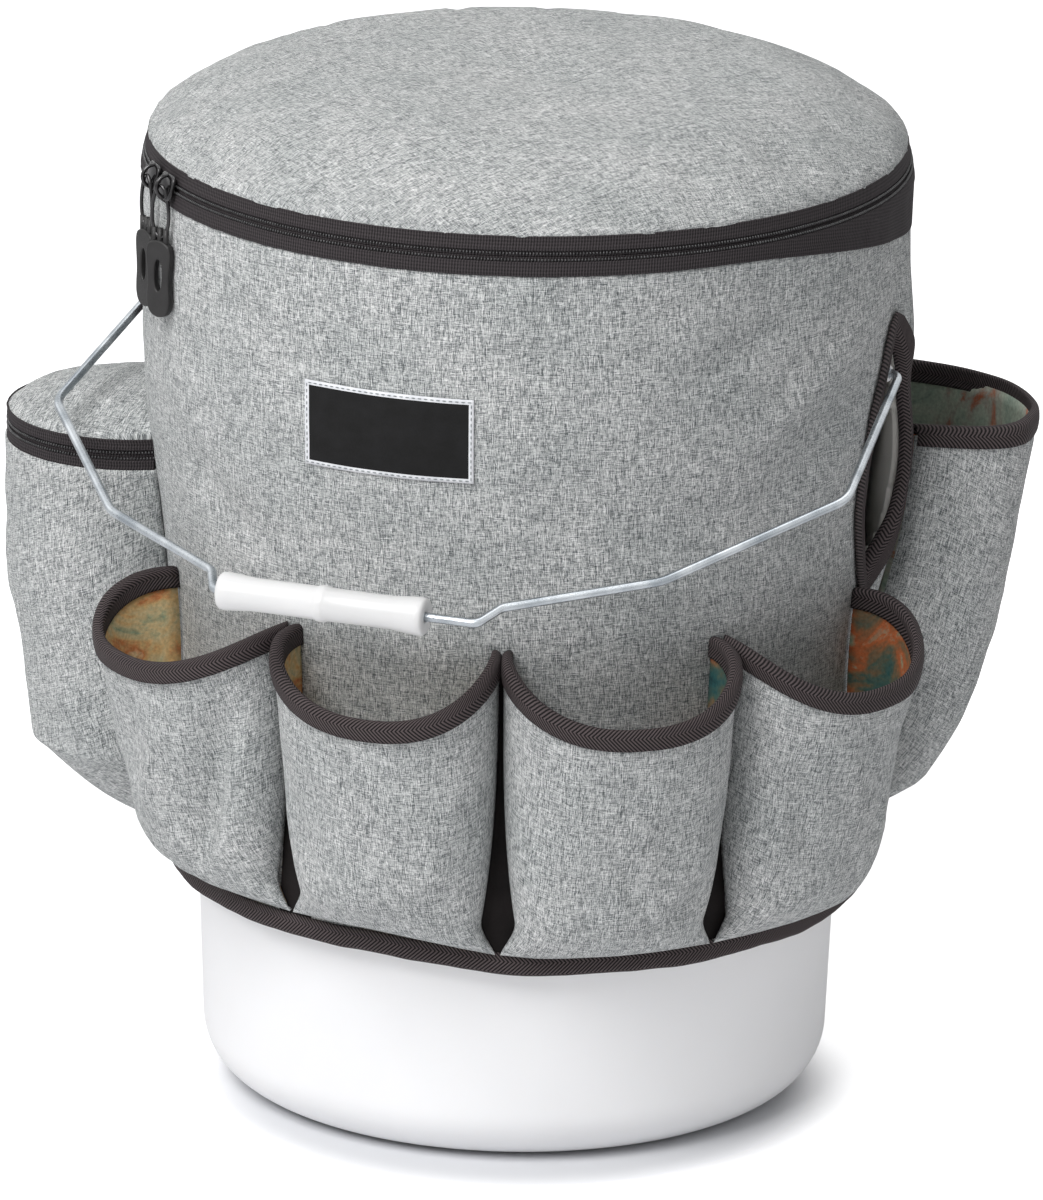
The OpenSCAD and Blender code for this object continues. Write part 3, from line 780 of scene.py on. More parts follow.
def tube(
    name: str, points: Sequence[Vector], r: float, closed: bool = False, sides: int = 5
) -> Thing:
    """Bends a round wire along points.

    Args:
        name: The piece's name.
        points: Its centreline in millimetres.
        r: Its radius.
        closed: Whether it is a ring.
        sides: Fineness of its section.

    Returns:
        The new object, as a mesh.
    """
    curve = bpy.data.curves.new(name, "CURVE")
    curve.dimensions = "3D"
    curve.bevel_depth = r * MM
    curve.bevel_resolution = sides
    curve.use_fill_caps = not closed
    spline = curve.splines.new("POLY")
    spline.points.add(len(points) - 1)
    for point, where in zip(spline.points, points):
        point.co = (*(where * MM), 1.0)
    spline.use_cyclic_u = closed
    mesh = curve_mesh(curve)
    mesh.name = name
    return shown(mesh, name)


def stitches(
    name: str, line: Sequence[Vector], middle: tuple[float, float], pitch: float, r: float
) -> Thing:
    """Lays a row of stitches along a line.

    Args:
        name: The piece's name.
        line: Points of the row in millimetres, a stitch or less apart.
        middle: Place that the cloth curves round, seen from above.
        pitch: Length from one stitch to the next.
        r: Radius of the thread.

    Returns:
        The new object.
    """
    bm = bmesh.new()
    shape = Matrix.Diagonal((pitch * 0.36, r, r, 1.0))
    run = due = 0.0
    for a, b in zip(line, line[1:]):
        length = (b - a).length
        while length > 0 and run + length >= due:
            spot = Matrix.Translation(a.lerp(b, (due - run) / length))
            along = (b - a).normalized()
            across = along.cross(flat_out(a, middle)).normalized()
            turn = Matrix((along, across, along.cross(across))).transposed().to_4x4()
            bmesh.ops.create_icosphere(bm, subdivisions=1, radius=1.0, matrix=spot @ turn @ shape)
            due += pitch
        run += length
    return to_object(bm, name)


@dataclass(frozen=True)
class CoverForm:
    """Sizes of the cover that its pieces share, in millimetres and degrees."""

    waist_r: float = 147.0
    top_r: float = 159.7
    waist_z: float = 190.0
    shoulder_z: float = 335.0
    base_z: float = 98.0
    top_z: float = 393.3
    shell_t: float = 3.0
    sleeve_t: float = 7.0
    hem_z: float = 89.0
    proud: float = 0.9
    slit_az: float = 92.0
    slit_l: float = 54.0
    slit_w: float = 17.0
    slit_z: float = 287.0
    hole_az: float = -90.0
    hole_l: float = 19.0
    hole_w: float = 12.0
    pivot_z: float = 324.0
    slit_bind: float = 8.0
    flare: float = 8.0
    coil_z: float = 401.0
    coil_r: float = 159.0
    tape_h: float = 7.5
    lean: float = 13.0
    hem_rise: float = 5.0
    flare_reach: float = 74.0
    wire_room: float = 0.65
    folds_from: float = 236.0
    slack: float = 1.1
    pucker: float = 0.5

    def radius(self, z: float) -> float:
        """Returns the sleeve's plain outer radius at a height."""
        share = ramp((z - self.waist_z) / (self.shoulder_z - self.waist_z))
        return self.waist_r + (self.top_r - self.waist_r) * share

    def across(self, az: float, middle: float, z: float) -> float:
        """Returns the arc length from a middle azimuth."""
        turn = (az - middle + 180.0) % 360.0 - 180.0
        return math.radians(turn) * self.radius(z)

    def openings(self) -> tuple[tuple[float, float, float, float], ...]:
        """Returns the right and left openings: azimuth, height, half width and half length of each."""
        right = (self.slit_az, self.slit_z, self.slit_w, self.slit_l)
        return right, (self.hole_az, self.pivot_z, self.hole_w, self.hole_l)

    def slit_half(self, t: float, half_w: float, half_l: float) -> float:
        """Returns half the width of a pointed opening, t above its middle."""
        arc = (half_l * half_l + half_w * half_w) / (2 * half_w)
        return math.sqrt(max(0.0, arc * arc - t * t)) - (arc - half_w)

    def lift(self, az: float, z: float) -> float:
        """Works out how far the cloth stands off its plain form.

        Args:
            az: Azimuth.
            z: Height.

        Returns:
            Distance outwards in millimetres.
        """
        s = self.across(az, self.slit_az, z)
        t = (z - self.slit_z) / self.flare_reach
        open_edge = self.flare * bell(t * t * 1.2) * ramp((s - 1.0) / 14.0) * (1 - ramp((s - 17.0) / 34.0))
        open_edge *= 1 - self.wire_room * bell((z - self.pivot_z + 9.0) / 22.0)
        front = ramp((z - self.folds_from) / 30.0) * ramp((self.top_z - z) / 16.0 + 0.25)
        soft = self.slack * rumple(3.1, az / 26.0, z / 55.0)
        folds = 0.0
        arc = math.radians(1) * self.top_r
        for from_az, from_z, to_az, to_z, high, wide in FOLDS:
            line = Vector(((to_az - from_az) * arc, to_z - from_z))
            here = Vector(((az - from_az) * arc, z - from_z))
            folds += high * crease(line, here, wide, 0.3, 0.4)
        pucker = self.pucker * rumple(8.4, az / 4.5, 2.0) * bell((self.top_z - z) / 16.0)
        return open_edge + front * (soft + folds) + pucker

    def rise(self, az: float) -> float:
        """Returns how far the hem is pulled up; it rides up on the left of the front."""
        return self.hem_rise * (1 - ramp((az + 5.0) / 32.0)) * ramp((az + 125.0) / 45.0)

    def skin(self, az: float, z: float, out: float = 0.0) -> Vector:
        """Returns a point on the sleeve's draped skin, moved outwards."""
        return about(az, self.radius(z) + self.lift(az, z) + out, z)

    def zip_radius(self, h: float) -> float:
        """Returns the radius of the leaning lid zip, h above its coil."""
        return self.coil_r - h * math.tan(math.radians(self.lean))


# Soft folds on the sleeve: from azimuth and height, to azimuth and height, how high and how wide
FOLDS = (
    (90.0, 362.0, 46.0, 300.0, 2.7, 9.0),
    (84.0, 330.0, 52.0, 270.0, -2.3, 12.0),
    (70.0, 375.0, 38.0, 335.0, -1.8, 9.0),
    (-30.0, 385.0, -6.0, 352.0, 1.2, 8.0),
    (-44.0, 300.0, -20.0, 250.0, -1.9, 12.0),
    (20.0, 265.0, 58.0, 246.0, 1.7, 9.0),
    (12.0, 388.0, 30.0, 352.0, 0.8, 8.0),
)


# The lamps: name, azimuth, elevation, distance, width and watts
LAMPS = (
    ("key", -14.0, 45.0, 2.6, 1.5, 58.0),
    ("fill", -95.0, 30.0, 2.6, 1.4, 4.0),
    ("top", 170.0, 78.0, 2.4, 1.6, 12.0),
)


@dataclass
class Studio:
    """Camera, lights and floor."""

    aim: tuple[float, float, float] = (0.0003, 0.0, 0.2053)
    azimuth: float = 20.5
    elevation: float = 17.72
    distance: float = 5.0
    lens: float = 357.27
    roll: float = 0.93
    lamp_aim: tuple[float, float, float] = (0.0, 0.0, 0.2)
    sky: float = 0.33
    floor_half: float = 9.0
    floor_z: float = -0.0004
    floor_glow: float = 0.7
    # The floor's glow fades out round shade_at, a little towards the camera from the pail, so the darker
    # floor there is painted shadow along with the real shadow
    shade_near: float = 0.112
    shade_far: float = 0.15
    shade_at: tuple[float, float, float] = (0.009, -0.0235, 0.0)
    # Reach of the painted shadow that darkens the floor's colour round the pail's foot
    painted_shadow_near: float = 0.1
    painted_shadow_far: float = 0.15
    bounce: float = 0.14
    bounce_near: float = 0.3
    bounce_far: float = 0.7

    def camera(self) -> None:
        """Sets the camera at the photograph's viewing angle."""
        back = heading(self.azimuth, self.elevation)
        data = bpy.data.cameras.new("camera")
        data.lens = self.lens
        data.sensor_width = 36.0
        data.clip_end = 60.0
        made = bpy.data.objects.new("camera", data)
        made.location = Vector(self.aim) + back * self.distance
        turn = (-back).to_track_quat("-Z", "Y").to_matrix()
        made.rotation_euler = (turn @ Matrix.Rotation(math.radians(self.roll), 3, "Z")).to_euler()
        bpy.context.scene.collection.objects.link(made)
        bpy.context.scene.camera = made

    def lamp(
        self, name: str, azimuth: float, elevation: float, reach: float, size: float, power: float
    ) -> None:
        """Hangs one soft square lamp that faces the object.

        Args:
            name: The lamp's name.
            azimuth: Where it hangs, from the front towards the right.
            elevation: How far above the horizon.
            reach: Distance from the object in metres.
            size: Its width in metres.
            power: Watts.
        """
        back = heading(azimuth, elevation)
        data = bpy.data.lights.new(name, "AREA")
        data.size = size
        data.energy = power
        made = bpy.data.objects.new(name, data)
        made.location = Vector(self.lamp_aim) + back * reach
        made.rotation_euler = (-back).to_track_quat("-Z", "Y").to_euler()
        bpy.context.scene.collection.objects.link(made)

    def light(self) -> None:
        """Lights the object softly from the upper left."""
        for name, *sizes in LAMPS:
            self.lamp(name, *sizes)
        world = bpy.data.worlds.new("studio")
        bpy.context.scene.world = world
        world.use_nodes = True
        tree = world.node_tree
        tree.nodes.clear()
        path = add(tree, "LightPath").node.outputs
        rays = {0: path["Is Camera Ray"], 1: path["Is Glossy Ray"]}
        seen = add(tree, "Math", rays, operation="MAXIMUM")
        seen = add(tree, "Math", {0: seen, 1: path["Is Transmission Ray"]}, operation="MAXIMUM")
        strength = add(tree, "MapRange", {"Value": seen, "To Min": self.sky, "To Max": 1.0})
        sky = add(tree, "Background", {"Color": (1, 1, 1, 1), "Strength": strength})
        add(tree, "OutputWorld", {"Surface": sky})
        bpy.context.scene.view_settings.view_transform = "Standard"

    def floor(self) -> None:
        """Lays the pale floor that takes the shadow; it glows white to the camera away from the pail, and
        round the pail's foot its colour darkens as a painted shadow.
        """
        bm = bmesh.new()
        bmesh.ops.create_grid(bm, x_segments=1, y_segments=1, size=self.floor_half)
        mesh = bpy.data.meshes.new("floor")
        bm.to_mesh(mesh)
        bm.free()
        made = bpy.data.objects.new("floor", mesh)
        made.location = (0.0, 0.0, self.floor_z)
        bpy.context.scene.collection.objects.link(made)
        finish = bpy.data.materials.new("pale_floor")
        finish.use_nodes = True
        tree = finish.node_tree
        tree.nodes.clear()
        place = add(tree, "TexCoord", out="Object")
        away = add(tree, "VectorMath", {0: place, 1: self.shade_at}, "Value", operation="DISTANCE")
        shade = {"From Min": self.shade_near, "From Max": self.shade_far, "To Max": self.floor_glow}
        clear = add(tree, "MapRange", {"Value": away} | shade, interpolation_type="SMOOTHSTEP")
        reach = {"From Min": self.bounce_near, "From Max": self.bounce_far}
        spill = {"Value": away, "To Min": self.bounce, "To Max": 0.0} | reach
        bounce = add(tree, "MapRange", spill, interpolation_type="SMOOTHSTEP")
        seen = add(tree, "LightPath", out="Is Camera Ray")
        share = add(tree, "Mix", {"Factor": seen, 2: bounce, 3: 1.0})
        # Painted shadow: the floor's colour darkens towards the pail's foot
        near = {"Value": away, "From Min": self.painted_shadow_near, "From Max": self.painted_shadow_far}
        painted_shadow = add(tree, "MapRange", near)
        looks = {
            "Base Color": add(tree, "ValToRGB", {"Fac": painted_shadow}, stops=[(0.2, "#dddee1"), (0.9, "#eeeef0")]),
            "Roughness": 0.9,
            "Specular IOR Level": 0.1,
            "Emission Color": (1, 1, 1, 1),
            "Emission Strength": add(tree, "Math", {0: clear, 1: share}, operation="MULTIPLY"),
        }
        add(tree, "OutputMaterial", {"Surface": add(tree, "BsdfPrincipled", looks)})
        mesh.materials.append(finish)
        made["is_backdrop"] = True

    def build(self) -> None:
        """Sets up the whole studio."""
        self.camera()
        self.light()
        self.floor()


@dataclass
class Pail:
    """Moulded pail with its rolled rim, stiffening rings and ears."""

    form: CoverForm
    height: float = 378.0
    base_r: float = 131.0
    top_r: float = 145.0
    wall: float = 2.2
    rim_r: float = 152.4
    rim_h: float = 9.0
    base_round: float = 24.0
    ear_r: float = 9.0
    ear_end: float = 150.3
    bore_r: float = 2.13
    boss_r: float = 3.6
    boss_end: float = 161.0
    rings_up: tuple[float, ...] = (13.0, 29.0)
    ring_t: float = 2.2
    ring_round: float = 0.6

    def side_r(self, z: float) -> float:
        """Returns the wall's outer radius at a height."""
        return self.base_r + (self.top_r - self.base_r) * z / self.height

    def profile(self) -> list[tuple[float, float]]:
        """Draws the pail's half section.

        Returns:
            Corners from the floor's middle, round the outside and back inside.
        """
        edge = self.side_r(self.base_round) - self.base_round
        turns = [math.radians(a) for a in range(-90, 1, 6)]
        outer = [(edge + self.base_round * math.cos(a), self.base_round * (1 + math.sin(a))) for a in turns]
        small = self.base_round - self.wall
        inner = [(edge + small * math.cos(a), self.base_round + small * math.sin(a)) for a in turns]
        rings: list[tuple[float, float]] = []
        soft = self.ring_round
        for up in self.rings_up:
            z = self.form.pivot_z + up
            top = z + self.ring_t
            rings += [
                (self.side_r(z), z),
                (self.ear_end - soft, z),
                (self.ear_end, z + soft),
                (self.ear_end, top - soft),
                (self.ear_end - soft, top),
                (self.side_r(top), top),
            ]
        low = self.height - self.rim_h
        rim = [
            (self.side_r(low), low),
            (self.rim_r - 1.0, low),
            (self.rim_r, low + 1.0),
            (self.rim_r, self.height - 2.6),
            (self.rim_r - 0.8, self.height - 0.8),
            (self.rim_r - 2.6, self.height),
            (self.side_r(self.height) - self.wall, self.height),
        ]
        return [(0.0, 0.0), *outer, *rings, *rim, *inner[::-1], (0.0, self.wall)]

    def ear(self, side: float) -> Thing:
        """Moulds one ear round the handle's end.

        Args:
            side: -1 for the left and 1 for the right.

        Returns:
            The ear.
        """
        start = self.side_r(self.form.pivot_z) - 1.0
        hole = start + 2.6
        corners = [
            (0.0, start),
            (self.ear_r + 1.2, start),
            (self.ear_r, start + 1.2),
            (self.ear_r, self.ear_end - 1.0),
            (self.ear_r - 1.0, self.ear_end),
            (self.boss_r, self.ear_end),
            (self.boss_r, self.boss_end - 0.6),
            (self.boss_r - 0.6, self.boss_end),
            (self.bore_r + 0.3, self.boss_end),
            (self.bore_r, self.boss_end - 0.3),
            (self.bore_r, hole),
            (0.0, hole),
        ]
        turn = Matrix.Rotation(math.radians(90.0 * side), 4, "Y")
        place = Matrix.Translation((0, 0, self.form.pivot_z)) @ turn
        return spun("pail_ear_right" if side > 0 else "pail_ear_left", corners, 40, place)

    def build(self) -> None:
        """Builds and dresses the pail."""
        shell = spun("pail_shell", self.profile(), 160)
        seat(shell, PAIL_PLASTIC, Slot.PLASTIC, Body.PAIL, ["bucket"])
        for side in (-1.0, 1.0):
            seat(self.ear(side), PAIL_PLASTIC, Slot.PLASTIC, Body.PAIL)


@dataclass
class Handle:
    """Bent wire handle with its moulded grip."""

    form: CoverForm
    wire_r: float = 1.9
    reach: float = 212.0
    span: float = 174.0
    drop: float = 17.0
    grip_l: float = 89.0
    grip_slide: float = -9.3
    grip_r: float = 6.9
    ear_start: float = 145.0
    outside: float = 165.0
    bend_steps: int = 8

    def plane(self) -> Matrix:
        """Returns the plane that the handle rests in."""
        turn = Matrix.Rotation(math.radians(180.0 + self.drop), 4, "X")
        return Matrix.Translation((0, 0, self.form.pivot_z)) @ turn

    def route(self) -> list[Vector]:
        """Draws the wire with its bends rounded.

        Returns:
            Points of the wire's centreline.
        """
        # Across, out from the pivot, and bend radius of each corner on the right
        half = [
            (self.ear_start, 0.0, 0.0),
            (self.outside, 0.0, 5.0),
            (self.span, 94.0, 16.0),
            (self.span - 54.0, self.reach - 45.0, 16.0),
            (63.0, self.reach - 13.0, 6.0),
            (57.0, self.reach, 4.0),
        ]
        corners = half + [(-x, y, r) for x, y, r in reversed(half)]
        points = [Vector((corners[0][0], corners[0][1], 0))]
        for before, here, after in zip(corners, corners[1:], corners[2:]):
            a, b, c = (Vector((p[0], p[1], 0)) for p in (before, here, after))
            into, away = (b - a).normalized(), (c - b).normalized()
            angle = into.angle(away)
            take = here[2] * math.tan(angle / 2)
            side = (away - into * into.dot(away)).normalized()
            centre = b - into * take + side * here[2]
            for k in range(self.bend_steps + 1):
                t = angle * k / self.bend_steps
                points.append(centre - side * here[2] * math.cos(t) + into * here[2] * math.sin(t))
        points.append(Vector((corners[-1][0], corners[-1][1], 0)))
        place = self.plane()
        return [place @ p for p in points]

    def build(self) -> None:
        """Builds and dresses the wire and its grip."""
        wire = tube("handle_bail", self.route(), self.wire_r, sides=6)
        seat(wire, WIRE_STEEL, Slot.WIRE, Body.HANDLE, ["handle_wire"])
        half = self.grip_l / 2
        bore = self.wire_r + 0.08
        side = [
            (self.grip_r + 0.7, 0.9),
            (self.grip_r + 0.5, 1.8),
            (self.grip_r, 2.6),
            (self.grip_r - 0.1, half * 0.5),
            (self.grip_r, half - 14.0),
            (self.grip_r + 0.7, half - 7.0),
            (self.grip_r + 1.0, half - 3.0),
            (self.grip_r + 0.8, half - 0.9),
            (self.grip_r + 0.1, half),
            (bore + 0.8, half),
            (bore, half - 0.8),
        ]
        corners = [(r, -z) for r, z in reversed(side)] + side
        turn = Matrix.Rotation(math.radians(90), 4, "Y")
        spot = self.plane() @ Matrix.Translation((self.grip_slide, self.reach, 0)) @ turn
        grip = spun("handle_sleeve_grip", corners, 48, spot)
        seat(grip, SHADED_GRIP_PLASTIC, Slot.PLASTIC, Body.GRIP, ["handle_grip"])


@dataclass
class Sleeve:
    """Padded sleeve with its lining, hem, bound openings and label."""

    form: CoverForm
    columns: int = 330
    rows: int = 110
    label_w: float = 74.0
    label_h: float = 36.0
    label_z: float = 322.5
    label_edge: int = 2  # faces in its white edge
    label_inset: float = 1.05
    stitch: float = 2.6
    thread_r: float = 0.26
    hem_h: float = 10.5
    tape_t: float = 3.8
    under_tape: float = 3.0
    flange_in: float = 137.6
    flange_out: float = 152.3
    flange_z: float = 378.3
    flange_t: float = 3.9
    flange_round: float = 0.8

    def in_opening(self, az: float, z: float, more: float) -> bool:
        """Tests whether a place lies in one of the handle's openings.

        Args:
            az: Azimuth.
            z: Height.
            more: How far past the opening's edge still counts.

        Returns:
            Whether it does.
        """
        f = self.form
        grown = 1.4 * more
        for middle, height, half_w, half_l in f.openings():
            up = z - height
            if abs(up) < half_l + grown:
                half = f.slit_half(up, half_w + more, half_l + grown)
                if abs(f.across(az, middle, z)) < half:
                    return True
        return False

    def wall(self, name: str, depth: float, thick: float, finish: Finish, slot: Slot, node: str) -> None:
        """Wraps one layer of the sleeve round the pail.

        Args:
            name: The piece's name.
            depth: How far under the outer skin it lies.
            thick: Its thickness.
            finish: What it is made of.
            slot: The record's slot for that.
            node: The solid that it stands for.
        """
        f = self.form
        low, high = f.base_z - 1.0, f.top_z + 0.6

        def spread(u: float, v: float) -> tuple[float, float]:
            """Returns the azimuth and height at shares round and up."""
            return 360.0 * u - 180.0, low + (high - low) * v

        def place(u: float, v: float) -> Vector:
            """Returns the layer's point at shares round and up."""
            return f.skin(*spread(u, v), -depth)

        def keep(u: float, v: float) -> bool:
            """Returns whether the cloth stays at shares round and up."""
            return not self.in_opening(*spread(u, v), self.under_tape)

        made = sheet(name, self.columns, self.rows, place, thick, closed=True, keep=keep)
        seat(made, finish, slot, Body.PAIL, [node])

    def hem(self) -> None:
        """Binds the sleeve's lower edge with folded tape."""
        f = self.form
        half = (f.sleeve_t + 2 * f.proud) / 2 - 0.4
        middle = f.radius(f.base_z) - f.sleeve_t / 2 + 0.3

        def place(u: float, v: float) -> Vector:
            """Finds a point of the tape.

            Args:
                u: Share round.
                v: Share across the tape.

            Returns:
                The point in millimetres.
            """
            az = 360.0 * u - 180.0
            wave = 0.5 * rumple(5.0, az / 11.0, 0.0)
            drop = 0.7 * rumple(6.0, az / 14.0, 0.0)
            r, z = tape_fold(1 - v, self.hem_h - half, half, 0.25)
            return about(az, middle + r + wave, f.hem_z + f.rise(az) + drop + z)

        made = sheet("hem_tape", 300, 22, place, TAPE_MM, closed=True)
        seat(made, TAPE, Slot.TAPE, Body.PAIL, ["hem_binding"])

    def opening_tape(self, side: str, az: float, z: float, half_w: float, half_l: float) -> None:
        """Folds tape round the edge of an opening.

        Args:
            side: The side of the cover that it is on.
            az: Azimuth of the opening's middle.
            z: Height of the opening's middle.
            half_w: Half its width.
            half_l: Half its length.
        """
        f = self.form
        thick, leg = self.tape_t, f.slit_bind

        def edge(u: float) -> tuple[float, float]:
            """Follows the opening's edge.

            Args:
                u: Share round.

            Returns:
                Distance across and up from the opening's middle.
            """
            turn = math.tau * u
            t = -half_l * math.cos(turn)
            side = 1.0 if u < 0.5 else -1.0
            return side * f.slit_half(t, half_w, half_l), t

        def place(u: float, v: float) -> Vector:
            """Finds a point of the tape.

            Args:
                u: Share round.
                v: Share across the tape.

            Returns:
                The point in millimetres.
            """
            s, t = edge(u)
            s0, t0 = edge((u - 0.002) % 1.0)
            s1, t1 = edge((u + 0.002) % 1.0)
            way = Vector((s1 - s0, t1 - t0))
            way = way.normalized() if way.length > 1e-6 else Vector((1.0, 0.0))
            out = Vector((way.y, -way.x))
            length = 2 * leg + thick
            run = (1 - v) * length
            corner = min(1.6, thick / 2)
            if run < leg:
                off, deep = leg - run, -f.proud - 0.3 * math.sin(math.pi * run / leg)
            elif run > length - leg:
                off, deep = run - (length - leg), thick - f.proud
            else:
                share = (run - leg) / thick
                off, deep = -corner * math.sin(math.pi * share), -f.proud + thick * share
            here = Vector((s, t)) + out * off
            height = z + here.y
            turn = az + math.degrees(here.x / f.radius(height))
            return f.skin(turn, height, -deep)

        made = sheet("slit_tape_" + side, 132, 20, place, TAPE_MM, closed=True)
        seat(made, TAPE, Slot.TAPE, Body.PAIL, ["slit_binding_" + side])

    def label(self) -> None:
        """Sews the bare label to the front."""
        f = self.form
        half = math.degrees(self.label_w / 2 / f.radius(self.label_z))

        def spot(across: float, up: float, out: float) -> Vector:
            """Returns a point of the label, at shares from its middle and a distance outwards."""
            return f.skin(half * across, self.label_z + self.label_h / 2 * up, out)

        columns, rows = 72, 36
        made = sheet("label_ground", columns, rows, lambda u, v: spot(2 * u - 1, 2 * v - 1, 1.0), 0.6)
        for finish in (LABEL_BLACK, LABEL_WHITE):
            made.data.materials.append(finish.material())
        wide, high = 1 - 2 * self.label_edge / columns, 1 - 2 * self.label_edge / rows
        for face in made.data.polygons:
            p = face.center / MM
            side = abs(azimuth_of(p)) / half
            height = abs(p.z - self.label_z) / (self.label_h / 2)
            face.material_index = 0 if side < wide and height < high else 1
        seat(made, LABEL_BLACK, Slot.LABEL, Body.PAIL, ["label_patch"])
        line: list[Vector] = []
        corners = [(-1.0, -1.0), (1.0, -1.0), (1.0, 1.0), (-1.0, 1.0), (-1.0, -1.0)]
        inset = [1 - self.label_inset / (size / 2) for size in (self.label_w, self.label_h)]
        for (ax, ay), (bx, by) in zip(corners, corners[1:]):
            for k in range(40):
                t = k / 40
                line.append(spot((ax + (bx - ax) * t) * inset[0], (ay + (by - ay) * t) * inset[1], 1.15))
        row = stitches("label_stitching", line, (0.0, 0.0), self.stitch, self.thread_r)
        seat(row, THREAD_GREY, Slot.LABEL, Body.PAIL)

    def build(self) -> None:
        """Builds and dresses the sleeve."""
        f = self.form
        self.wall("sleeve_cloth", 0.0, f.shell_t - 0.4, CLOTH, Slot.CLOTH, "sleeve_shell")
        self.wall("sleeve_padding", f.shell_t + 0.2, 3.4, FOAM_FILM, Slot.FOAM, "sleeve_foam")
        low, high, edge = self.flange_z, self.flange_z + self.flange_t, self.flange_round
        flange = [
            (self.flange_in, low),
            (self.flange_out, low),
            (self.flange_out, high - edge),
            (self.flange_out - edge, high),
            (self.flange_in + edge, high),
            (self.flange_in, high - edge),
        ]
        ring = spun("rim_seat_ring", flange, 140)
        seat(ring, FOAM_FILM, Slot.FOAM, Body.PAIL, ["rim_flange"])
        self.hem()
        for side, opening in zip(("right", "left"), f.openings()):
            self.opening_tape(side, *opening)
        self.label()


@dataclass
class OpenPocket:
    """A lined pocket whose mouth is bound with tape."""

    form: CoverForm
    name: str
    nodes: tuple[str, str, str]
    lining: Finish
    start: float
    sweep: float
    depth: float = 47.0
    foot_depth: float = 4.0
    foot_z: float = 98.2
    seam_z: float = 232.0
    mouth_z: float = 209.0
    tilt: float = 0.0
    square: float = 2.4
    skew: float = 1.0
    toe: float = 0.45
    sharp: float = 12.0
    pinch: float = 3.3
    dent: float = 2.6
    seed: float = 1.0
    creases: tuple[tuple[float, ...], ...] = ()
    cloth_t: float = 1.6
    pocket_t: float = 2.6
    bind_h: float = 9.0
    seam_gap: float = 0.35
    foot_t: float = 1.5
    foot_turn: float = 0.05
    lining_t: float = 0.8

    def share(self, u: float) -> float:
        """Returns the place across the pocket with its lean taken in."""
        return max(0.0, u) ** self.skew

    def spaced(self, across: float) -> float:
        """Returns the share across of a column; the columns draw together at the seams."""
        return 0.5 - 0.5 * math.cos(math.pi * across)

    def section(self, u: float) -> float:
        """Returns how far the pocket stands out across it, from 0 to 1."""
        side = abs(2 * self.share(u) - 1)
        return max(0.0, 1 - side**self.square) ** (1 / self.square)

    def mouth(self, u: float) -> float:
        """Returns the height of the mouth's edge."""
        seam = (self.seam_z - self.mouth_z) * abs(2 * self.share(u) - 1) ** 2.5
        return self.mouth_z + seam + self.tilt * (1 - ramp((u - 0.3) / 0.7))

    def folded(self, u: float, v: float) -> float:
        """Adds up the pocket's own creases.

        Args:
            u: Share across.
            v: Share up.

        Returns:
            How far they push the cloth out.
        """
        total = 0.0
        wide, high = math.radians(self.sweep) * self.form.waist_r, self.seam_z - self.foot_z
        for u0, v0, u1, v1, push, soft in self.creases:
            line = Vector(((u1 - u0) * wide, (v1 - v0) * high))
            here = Vector(((u - u0) * wide, (v - v0) * high))
            total += push * crease(line, here, soft, 0.35, 0.35)
        return total

    def point(self, u: float, v: float, z: float, inset: float) -> Vector:
        """Finds a point of the pocket's wall.

        Args:
            u: Share across.
            v: Share up.
            z: Height.
            inset: Distance under the outer skin.

        Returns:
            The point in millimetres.
        """
        f = self.form
        closing = ramp((v + 0.01) / 0.13) if self.pinch else 1.0
        pinch = self.pinch * (1 - v) ** 3 * closing
        trim = self.seam_gap + pinch + math.degrees(inset / f.waist_r)
        az = self.start + trim + u * (self.sweep - 2 * trim)
        filled = self.toe * (1 - (1 - v) ** self.sharp) + (1 - self.toe) * v
        base = self.foot_t + (self.foot_depth - self.foot_t) * min(1.0, v / self.foot_turn) ** 0.5
        stand = base + (self.depth - self.foot_depth) * filled
        out = self.section(u)
        slack = self.dent * out * math.sin(math.pi * min(1.0, v * 0.9 + 0.05))
        dents = slack * rumple(self.seed, u * 2.6 + self.seed, v * 1.9)
        ridge = 1 - 2.4 * abs(rumple(self.seed + 7.0, u * 4.5 + v * 2.0, v * 2.4))
        folds = slack * 0.32 * ridge + self.folded(u, v) * out
        r = f.radius(z) + 0.3 + max(0.0, self.pocket_t - inset) + (stand - self.pocket_t) * out
        edge = f.lift(az, z) if self.start > 90.0 else 0.0
        return about(az, r + dents + folds + edge, z)

    def wall(self, name: str, inset: float, thick: float) -> Thing:
        """Lofts one layer of the pocket from its foot to its mouth.

        Args:
            name: The piece's name.
            inset: Distance under the outer skin.
            thick: Its thickness.

        Returns:
            The layer.
        """

        def place(across: float, up: float) -> Vector:
            """Finds a point of the layer.

            Args:
                across: Share of the grid's columns.
                up: Share of the grid's rows.

            Returns:
                The point in millimetres.
            """
            u = self.spaced(across)
            v = up**1.4
            top = self.mouth(u) - self.bind_h * 0.55
            foot = self.foot_z + (1.6 * self.form.rise(self.start + u * self.sweep) if self.pinch else 0.0)
            return self.point(u, v, foot + v * (top - foot), inset)

        return sheet(name, 60, 46, place, thick)

    def tape(self) -> Thing:
        """Folds tape over the pocket's mouth.

        Returns:
            The tape.
        """
        half = (self.pocket_t + 1.8) / 2
        middle = self.pocket_t / 2

        def place(across: float, up: float) -> Vector:
            """Finds a point of the tape.

            Args:
                across: Share of the grid's columns.
                up: Share across the tape.

            Returns:
                The point in millimetres.
            """
            u = self.spaced(across)
            top = self.mouth(u)
            off, drop = tape_fold(up, self.bind_h - half, half, 0.3)
            return self.point(u, 1.0, top - drop, middle - off)

        return sheet(self.name + "_tape", 96, 18, place, TAPE_MM)

